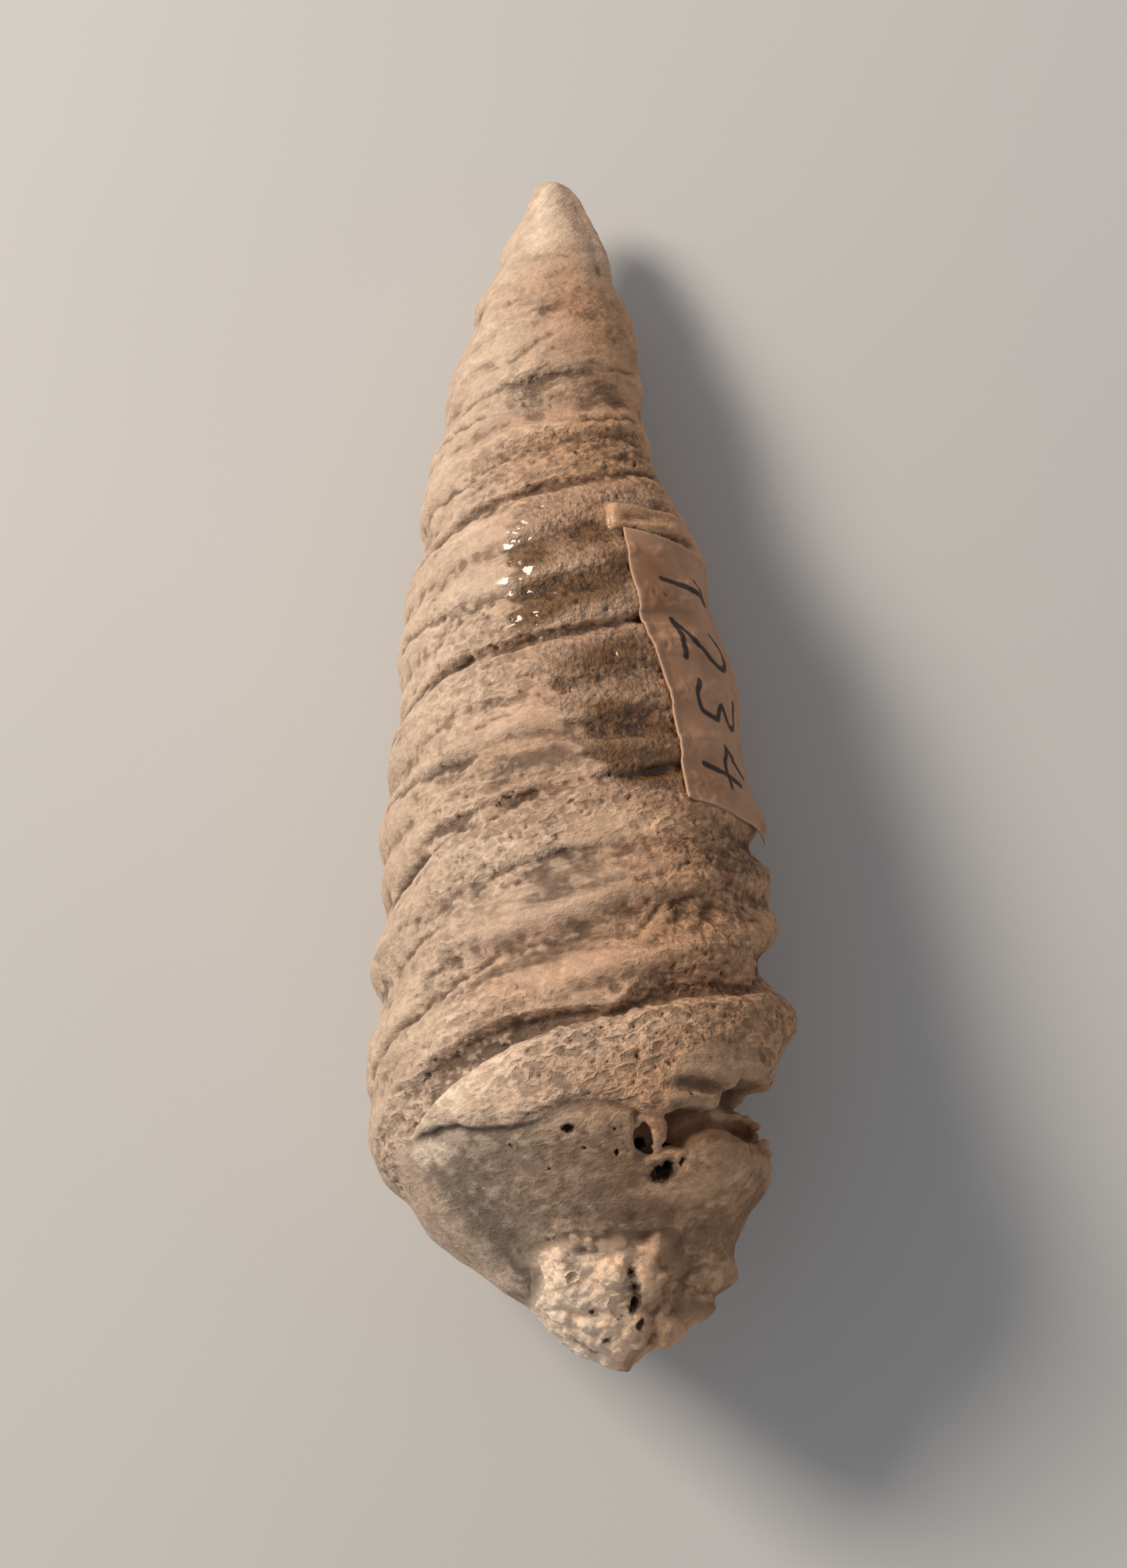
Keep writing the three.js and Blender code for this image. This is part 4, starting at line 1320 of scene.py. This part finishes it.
def stone_colour(g, stain, colours, place, streaks):
    """The stone with its stains, its dirt and its painted shade and highlight, before the grains and the
    varnish.
    """
    broad = g.ramp(g.noise(place, 0.16, 3.0, 0.6), 0.35, 0.65)
    spots = g.ramp(g.noise(place, 0.9, 4.0, 0.65), 0.38, 0.66)

    def on_top(below, stain_colour, name, noise_value, break_up, strength):
        return stained(g, stain, below, stain_colour, g.mask(name), noise_value, break_up, strength)

    colour = g.mix(broad, solid(colours.stone), solid(colours.cloud))
    colour = on_top(colour, (0.34, 0.245, 0.18, 1), "rough", spots, 1.3, 0.42)
    colour = g.mix(g.times(g.mask("inner_layer"), 0.75), colour, (0.45, 0.375, 0.305, 1))
    core = g.mix(g.ramp(g.mask("warm"), 0, 0.25), (0.225, 0.173, 0.132, 1), solid(colours.core))
    core = g.mix(g.times(broad, 0.5), core, (0.27, 0.205, 0.155, 1))
    colour = g.mix(g.mask("bare_core"), colour, core)
    crust = g.mix(spots, solid(colours.crust), (0.93, 0.72, 0.54, 1))
    colour = g.mix(g.mask("crust"), colour, crust)
    colour = g.mix(g.mask("flake"), colour, (0.56, 0.44, 0.34, 1))
    # Worn patches, and painted highlight on facets that face the light
    colour = on_top(colour, (0.95, 0.78, 0.61, 1), "pale", spots, 0.5, 0.85)
    # Dirt, and painted shade along the seams and in the oval hollow
    colour = on_top(colour, solid(colours.dirt), "dirt", streaks, 2.2, 0.8)
    # Dirt and painted shade: creases and hollows are darkened by how far they lie below their
    # surroundings
    colour = on_top(colour, (0.17, 0.12, 0.088, 1), "hollow", streaks, 1.2, 0.75)
    colour = on_top(colour, (0.17, 0.115, 0.08, 1), "crease", spots, 0.5, 0.65)
    worn_edge = g.ramp(g.mask("crease"), -0.1, -0.8, 0.0, 0.35)
    colour = g.mix(worn_edge, colour, (0.8, 0.63, 0.49, 1))
    colour = on_top(colour, solid(colours.rust), "rust", spots, 0.8, 0.7)
    colour = g.mix(g.mask("warm"), colour, g.tinted(colour, (1.0, 0.76, 0.58, 1)))
    # Painted shade: near-black in the gap of the mouth and in the deep holes
    return g.mix(g.mask("sunk"), colour, (0.062, 0.041, 0.029, 1))


def stone_material(grain, stain, colours):
    """The fossil's stone, with its crust, its stains and the varnish on it."""
    material, shader, g = new_material("fossil_stone")
    position = g.node("ShaderNodeTexCoord").outputs["Object"]
    place = g.scaled(position, 1 / MM)
    course = along_the_coil(g, position, 4.0)
    streaks = g.noise(course, 1.6, 4.0, 0.65)
    crust, varnish = g.mask("crust"), g.mask("varnish")
    crumbs = g.add(g.ramp(g.mask("rough"), 0.0, 1.0, 0.3, 1.2), g.times(g.mask("belt"), 0.6))
    crumbs = g.times(crumbs, g.ramp(varnish, 0.0, 1.0, 1.0, 0.3))
    crumbs = g.times(crumbs, g.ramp(crust, 0.0, 1.0, 1.0, 0.4))
    grains = g.node("ShaderNodeGroup", {
        "Position": g.mix(crust, along_the_coil(g, position, 1.7), place), "Crumbs": crumbs},
        node_tree=grain)
    tone = g.times(grains.outputs["Tone"], g.ramp(streaks, 0.3, 0.7, 1.06, 0.93))
    grey = g.node("ShaderNodeCombineColor", {0: tone, 1: tone, 2: tone}).outputs["Color"]
    colour = g.tinted(stone_colour(g, stain, colours, place, streaks), grey)
    colour = stained(g, stain, colour, g.tinted(colour, solid(colours.varnish)),
                     g.mask("soaked"), g.noise(course, 1.1, 3.0, 0.6), 1.0, 1.0)
    g.link(colour, shader.inputs["Base Color"])
    g.link(g.ramp(varnish, 0, 1, 0.9, 0.4), shader.inputs["Roughness"])
    g.link(varnish, shader.inputs["Coat Weight"])
    shader.inputs["Coat Roughness"].default_value = 0.06
    shader.inputs["Specular IOR Level"].default_value = 0.3
    glints = g.times(g.noise(place, 3.0, 3.0), varnish, 4.2)
    granules = g.times(g.minus(1.0, g.cells(place, 1.9, 0.4)), crust, 2.0)
    dry = g.ramp(varnish, 0.0, 1.0, 1.0, 0.65)
    height = g.add(g.times(grains.outputs["Height"], dry), g.times(streaks, 0.9), glints, granules)
    bumped(g, shader, height, 0.8, 0.11)
    return material


def paper_material(grain, stain, colours):
    """Aged brown paper with ink, and a rim painted paler: worn paper, and painted highlight on the cut
    edge.
    """
    material, shader, g = new_material("label_paper")
    place = g.scaled(g.node("ShaderNodeTexCoord").outputs["Object"], 1 / MM)
    fibres = g.node("ShaderNodeGroup", {"Position": place, "Scale": 1.4, "Crumbs": 0.0},
                    node_tree=grain)
    blots = g.noise(place, 0.45, 3.0, 0.6)
    colour = g.mix(g.ramp(blots, 0.35, 0.65), solid(colours.paper), (0.47, 0.255, 0.15, 1))
    colour = stained(g, stain, colour, solid(colours.stain), g.mask("stain"), blots, 0.8, 0.75)
    # Wear and painted highlight: the rim of the paper is made paler
    colour = g.mix(g.times(g.mask("rim"), 0.6), colour, (0.72, 0.5, 0.36, 1))
    colour = stained(g, stain, colour, solid(colours.ink), g.mask("ink"), blots, 0.2, 0.95)
    g.link(colour, shader.inputs["Base Color"])
    shader.inputs["Roughness"].default_value = 0.75
    shader.inputs["Specular IOR Level"].default_value = 0.3
    bumped(g, shader, fibres.outputs["Height"], 0.3, 0.03)
    return material


def floor_material(colour):
    """A plain pale floor, a little cloudy."""
    material, shader, g = new_material("floor")
    place = g.scaled(g.node("ShaderNodeTexCoord").outputs["Object"], 1 / MM)
    clouds = g.mix(g.noise(place, 0.02, 2.0), (0.6, 0.61, 0.61, 1), solid(colour))
    g.link(clouds, shader.inputs["Base Color"])
    shader.inputs["Roughness"].default_value = 0.85
    return material


# The add-on

def size_setting(name, description, default, least=0.0):
    """A length in metres."""
    return FloatProperty(name=name, description=description, default=default, min=least,
                         unit="LENGTH", precision=5)


def colour_setting(name, description, default):
    """A linear colour."""
    return FloatVectorProperty(name=name, description=description, default=default, size=3,
                               min=0, max=1, subtype="COLOR")


class ShellSettings(bpy.types.PropertyGroup):
    """Sizes and colours of the fossil."""
    rows: IntProperty(name="Rows", description="Rows of points along the wall", default=640, min=60)
    columns: IntProperty(name="Columns", description="Points round the wall", default=560, min=24)
    groove_depth: FloatProperty(
        name="Groove depth", description="Scale of the depth of the grooves", default=1.0, min=0)
    wander: FloatProperty(
        name="Wander", description="How far the ribs stray from the coil, in turns", default=0.02,
        min=0)
    uneven_wear: FloatProperty(
        name="Uneven wear", description="How much of the grooves is worn away in places",
        default=0.35, min=0, max=1, subtype="FACTOR")
    fineness: size_setting("Fineness", "Mesh spacing of the stone", 0.15 * MM, 0.1 * MM)
    triangles: IntProperty(
        name="Triangles", description="Most triangles that the stone may keep", default=194000,
        min=1000)
    stone: colour_setting("Stone", "Light parts of the stone", (0.65, 0.495, 0.372))
    cloud: colour_setting("Clouds", "Broad darker clouds in the stone", (0.56, 0.412, 0.306))
    core: colour_setting("Core", "Bare stone past the broken rib", (0.35, 0.27, 0.207))
    crust: colour_setting("Crust", "Crust at the tip of the base", (1.0, 0.82, 0.65))
    # Also the colour of the painted shade along the seams and in the oval hollow
    dirt: colour_setting("Dirt", "Dirt in the grooves", (0.14, 0.103, 0.078))
    rust: colour_setting("Rust", "Rusty stains", (0.27, 0.155, 0.1))
    varnish: colour_setting("Varnish", "Tint of the stone that the varnish has soaked into",
                            (0.37, 0.28, 0.145))


class LabelSettings(bpy.types.PropertyGroup):
    """Sizes and colours of the paper label."""
    thickness: size_setting("Thickness", "Thickness of the paper", 0.12 * MM)
    stiffness: IntProperty(
        name="Stiffness", description="How little the paper follows small bumps", default=160, min=0)
    corner_lift: size_setting("Corner lift", "How far the lower corner stands up", 0.6 * MM)
    paper: colour_setting("Paper", "Light parts of the paper", (0.57, 0.32, 0.195))
    stain: colour_setting("Stain", "Stains on the paper", (0.3, 0.145, 0.07))
    ink: colour_setting("Ink", "Pen strokes", (0.03, 0.026, 0.026))


class StageSettings(bpy.types.PropertyGroup):
    """The floor, the light and the camera."""
    key_power: FloatProperty(name="Key light", description="Power of the main light", unit="POWER",
                             default=1.5, min=0)
    key_size: size_setting("Key size", "Side of the main light", 0.14)
    key_colour: colour_setting("Key colour", "Colour of the main light", (1.0, 0.88, 0.76))
    fill: FloatProperty(name="Fill", description="Strength of the light all round", default=0.3,
                        min=0)
    fill_colour: colour_setting("Fill colour", "Colour of the light all round", (0.97, 0.97, 1.0))
    floor: colour_setting("Floor", "Light parts of the floor", (0.66, 0.665, 0.66))
    lens: FloatProperty(name="Lens", description="Focal length", unit="CAMERA", default=90, min=1)


class FOSSIL_OT_shell(bpy.types.Operator):
    """Make the fossil shell"""
    bl_idname = "fossil.shell"
    bl_label = "Fossil shell"

    def execute(self, context):
        settings = context.scene.fossil_shell
        material = stone_material(grain_group(), stain_group(), settings)
        shell = fossil_body(material, settings)
        shell.name = "turret_shell"
        mark_surface(shell.data)
        apply_tree(shell, weathering_tree(), {"Material": material})
        shell.data.calc_loop_triangles()
        count = len(shell.data.loop_triangles)
        thin = shell.modifiers.new("Thin out", "DECIMATE")
        thin.ratio = min(1.0, settings.triangles / count)
        bake_modifiers(shell)
        flatten_foot(shell.data)
        mark_surface(shell.data)
        calm = 1 - 0.8 * read(shell.data, "crust") - 0.4 * read(shell.data, "belt")
        # Dirt and painted shade: how far each point lies below its surroundings darkens its creases and
        # hollows
        for name, rounds, deep in (("crease", 8, 0.05), ("hollow", 120, 0.3)):
            store(shell.data, name, np.clip(relief(shell.data, rounds) / deep, -1, 1) * calm)
        shade_smooth(shell.data)
        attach(shell, "root")
        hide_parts("fossil_shell")
        return {"FINISHED"}


class FOSSIL_OT_label(bpy.types.Operator):
    """Make the paper label"""
    bl_idname = "fossil.label"
    bl_label = "Paper label"

    def execute(self, context):
        settings = context.scene.fossil_label
        groups = bpy.data.node_groups
        material = paper_material(groups["Grain"], groups["Stain"], settings)
        label = new_object("paper_sheet", bpy.data.meshes.new("paper_sheet"))
        apply_tree(label, draped_sheet_tree(), {
            "Stone": bpy.data.objects["turret_shell"], "Thickness": settings.thickness / MM,
            "Stiffness": settings.stiffness, "Corner lift": settings.corner_lift / MM,
            "Material": material})
        mesh = label.data
        down, across = (read(mesh, name) for name in ("down", "across"))
        length, width = PAPER
        edge = np.minimum(np.minimum(down, length - down), np.minimum(across, width - across))
        stain = bell((down - 3.4) / 2.2) * bell((across - 1.8) / 2.2)
        stain = stain + 0.5 * bell((down - 7) / 3) * bell(across / 1.5)
        stain = stain + 0.4 * bell((down - 17.5) / 1.2)
        store(mesh, "ink", ink_on(down, across))
        # Wear and painted highlight along the cut edge of the paper
        store(mesh, "rim", 1 - ramp(edge, 0.02, 0.22))
        store(mesh, "stain", np.clip(stain, 0, 1))
        shade_smooth(mesh)
        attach(label, "root")
        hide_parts("paper_label")
        return {"FINISHED"}


class FOSSIL_OT_stage(bpy.types.Operator):
    """Make the floor, the lights and the camera"""
    bl_idname = "fossil.stage"
    bl_label = "Floor, lights and camera"

    def execute(self, context):
        settings = context.scene.fossil_stage
        bpy.ops.mesh.primitive_plane_add(size=FLOOR_SIZE * MM)
        floor = context.object
        floor.name = "floor"
        floor.data.materials.append(floor_material(settings.floor))
        key_light(settings)
        world = bpy.data.worlds.new("room")
        world.use_nodes = True
        ground = world.node_tree.nodes["Background"]
        ground.inputs["Color"].default_value = solid(settings.fill_colour)
        ground.inputs["Strength"].default_value = settings.fill
        context.scene.world = world
        context.scene.view_settings.view_transform = "Standard"
        context.scene.camera = view_camera(settings.lens)
        return {"FINISHED"}


def key_light(settings):
    """A square light high on the left, behind the apex."""
    light = bpy.data.lights.new("key", "AREA")
    light.energy, light.size, light.color = settings.key_power, settings.key_size, settings.key_colour
    lamp = new_object("key", light)
    aim = Vector(KEY_AIM).normalized()
    lamp.location = aim * (KEY_DISTANCE * MM)
    lamp.rotation_euler = aim.to_track_quat("Z", "Y").to_euler()


def view_camera(lens):
    """A camera that looks down on the fossil."""
    back = Vector((0, -math.sin(CAMERA_TILT), math.cos(CAMERA_TILT)))
    level = Vector((0, math.cos(CAMERA_TILT), math.sin(CAMERA_TILT)))
    right = math.cos(CAMERA_ROLL) * Vector((1, 0, 0)) + math.sin(CAMERA_ROLL) * level
    up = back.cross(right)
    data = bpy.data.cameras.new("camera")
    data.lens = lens
    data.clip_start, data.clip_end = 0.01, 10
    camera = new_object("camera", data)
    target = Vector(AXIS_START) + MM * Vector(CAMERA_TARGET)
    place = target + MM * CAMERA_DISTANCE * back
    camera.matrix_world = Matrix.LocRotScale(place, Matrix((right, up, back)).transposed(), None)
    return camera


class FOSSIL_PT_panel(bpy.types.Panel):
    """The fossil's operators in the sidebar"""
    bl_idname = "FOSSIL_PT_panel"
    bl_label = "Fossil turret snail"
    bl_space_type = "VIEW_3D"
    bl_region_type = "UI"
    bl_category = "Fossil"

    def draw(self, context):
        for name in SETTINGS:
            box = self.layout.box()
            settings = getattr(context.scene, name)
            for field in settings.__annotations__:
                box.prop(settings, field)
        for operator in OPERATORS:
            self.layout.operator(operator.bl_idname)


OPERATORS = (FOSSIL_OT_shell, FOSSIL_OT_label, FOSSIL_OT_stage)
SETTINGS = {"fossil_shell": ShellSettings, "fossil_label": LabelSettings,
            "fossil_stage": StageSettings}


def register():
    """Adds the classes and their settings to Blender."""
    for kind in (*SETTINGS.values(), *OPERATORS, FOSSIL_PT_panel):
        bpy.utils.register_class(kind)
    for name, kind in SETTINGS.items():
        setattr(bpy.types.Scene, name, PointerProperty(type=kind))


def unregister():
    """Takes them out again."""
    for name in SETTINGS:
        delattr(bpy.types.Scene, name)
    for kind in (FOSSIL_PT_panel, *reversed(OPERATORS), *reversed(SETTINGS.values())):
        bpy.utils.unregister_class(kind)


def main():
    """Makes every piece and the stage."""
    register()
    bpy.ops.fossil.shell()
    bpy.ops.fossil.label()
    bpy.ops.fossil.stage()


if __name__ == "__main__":
    main()
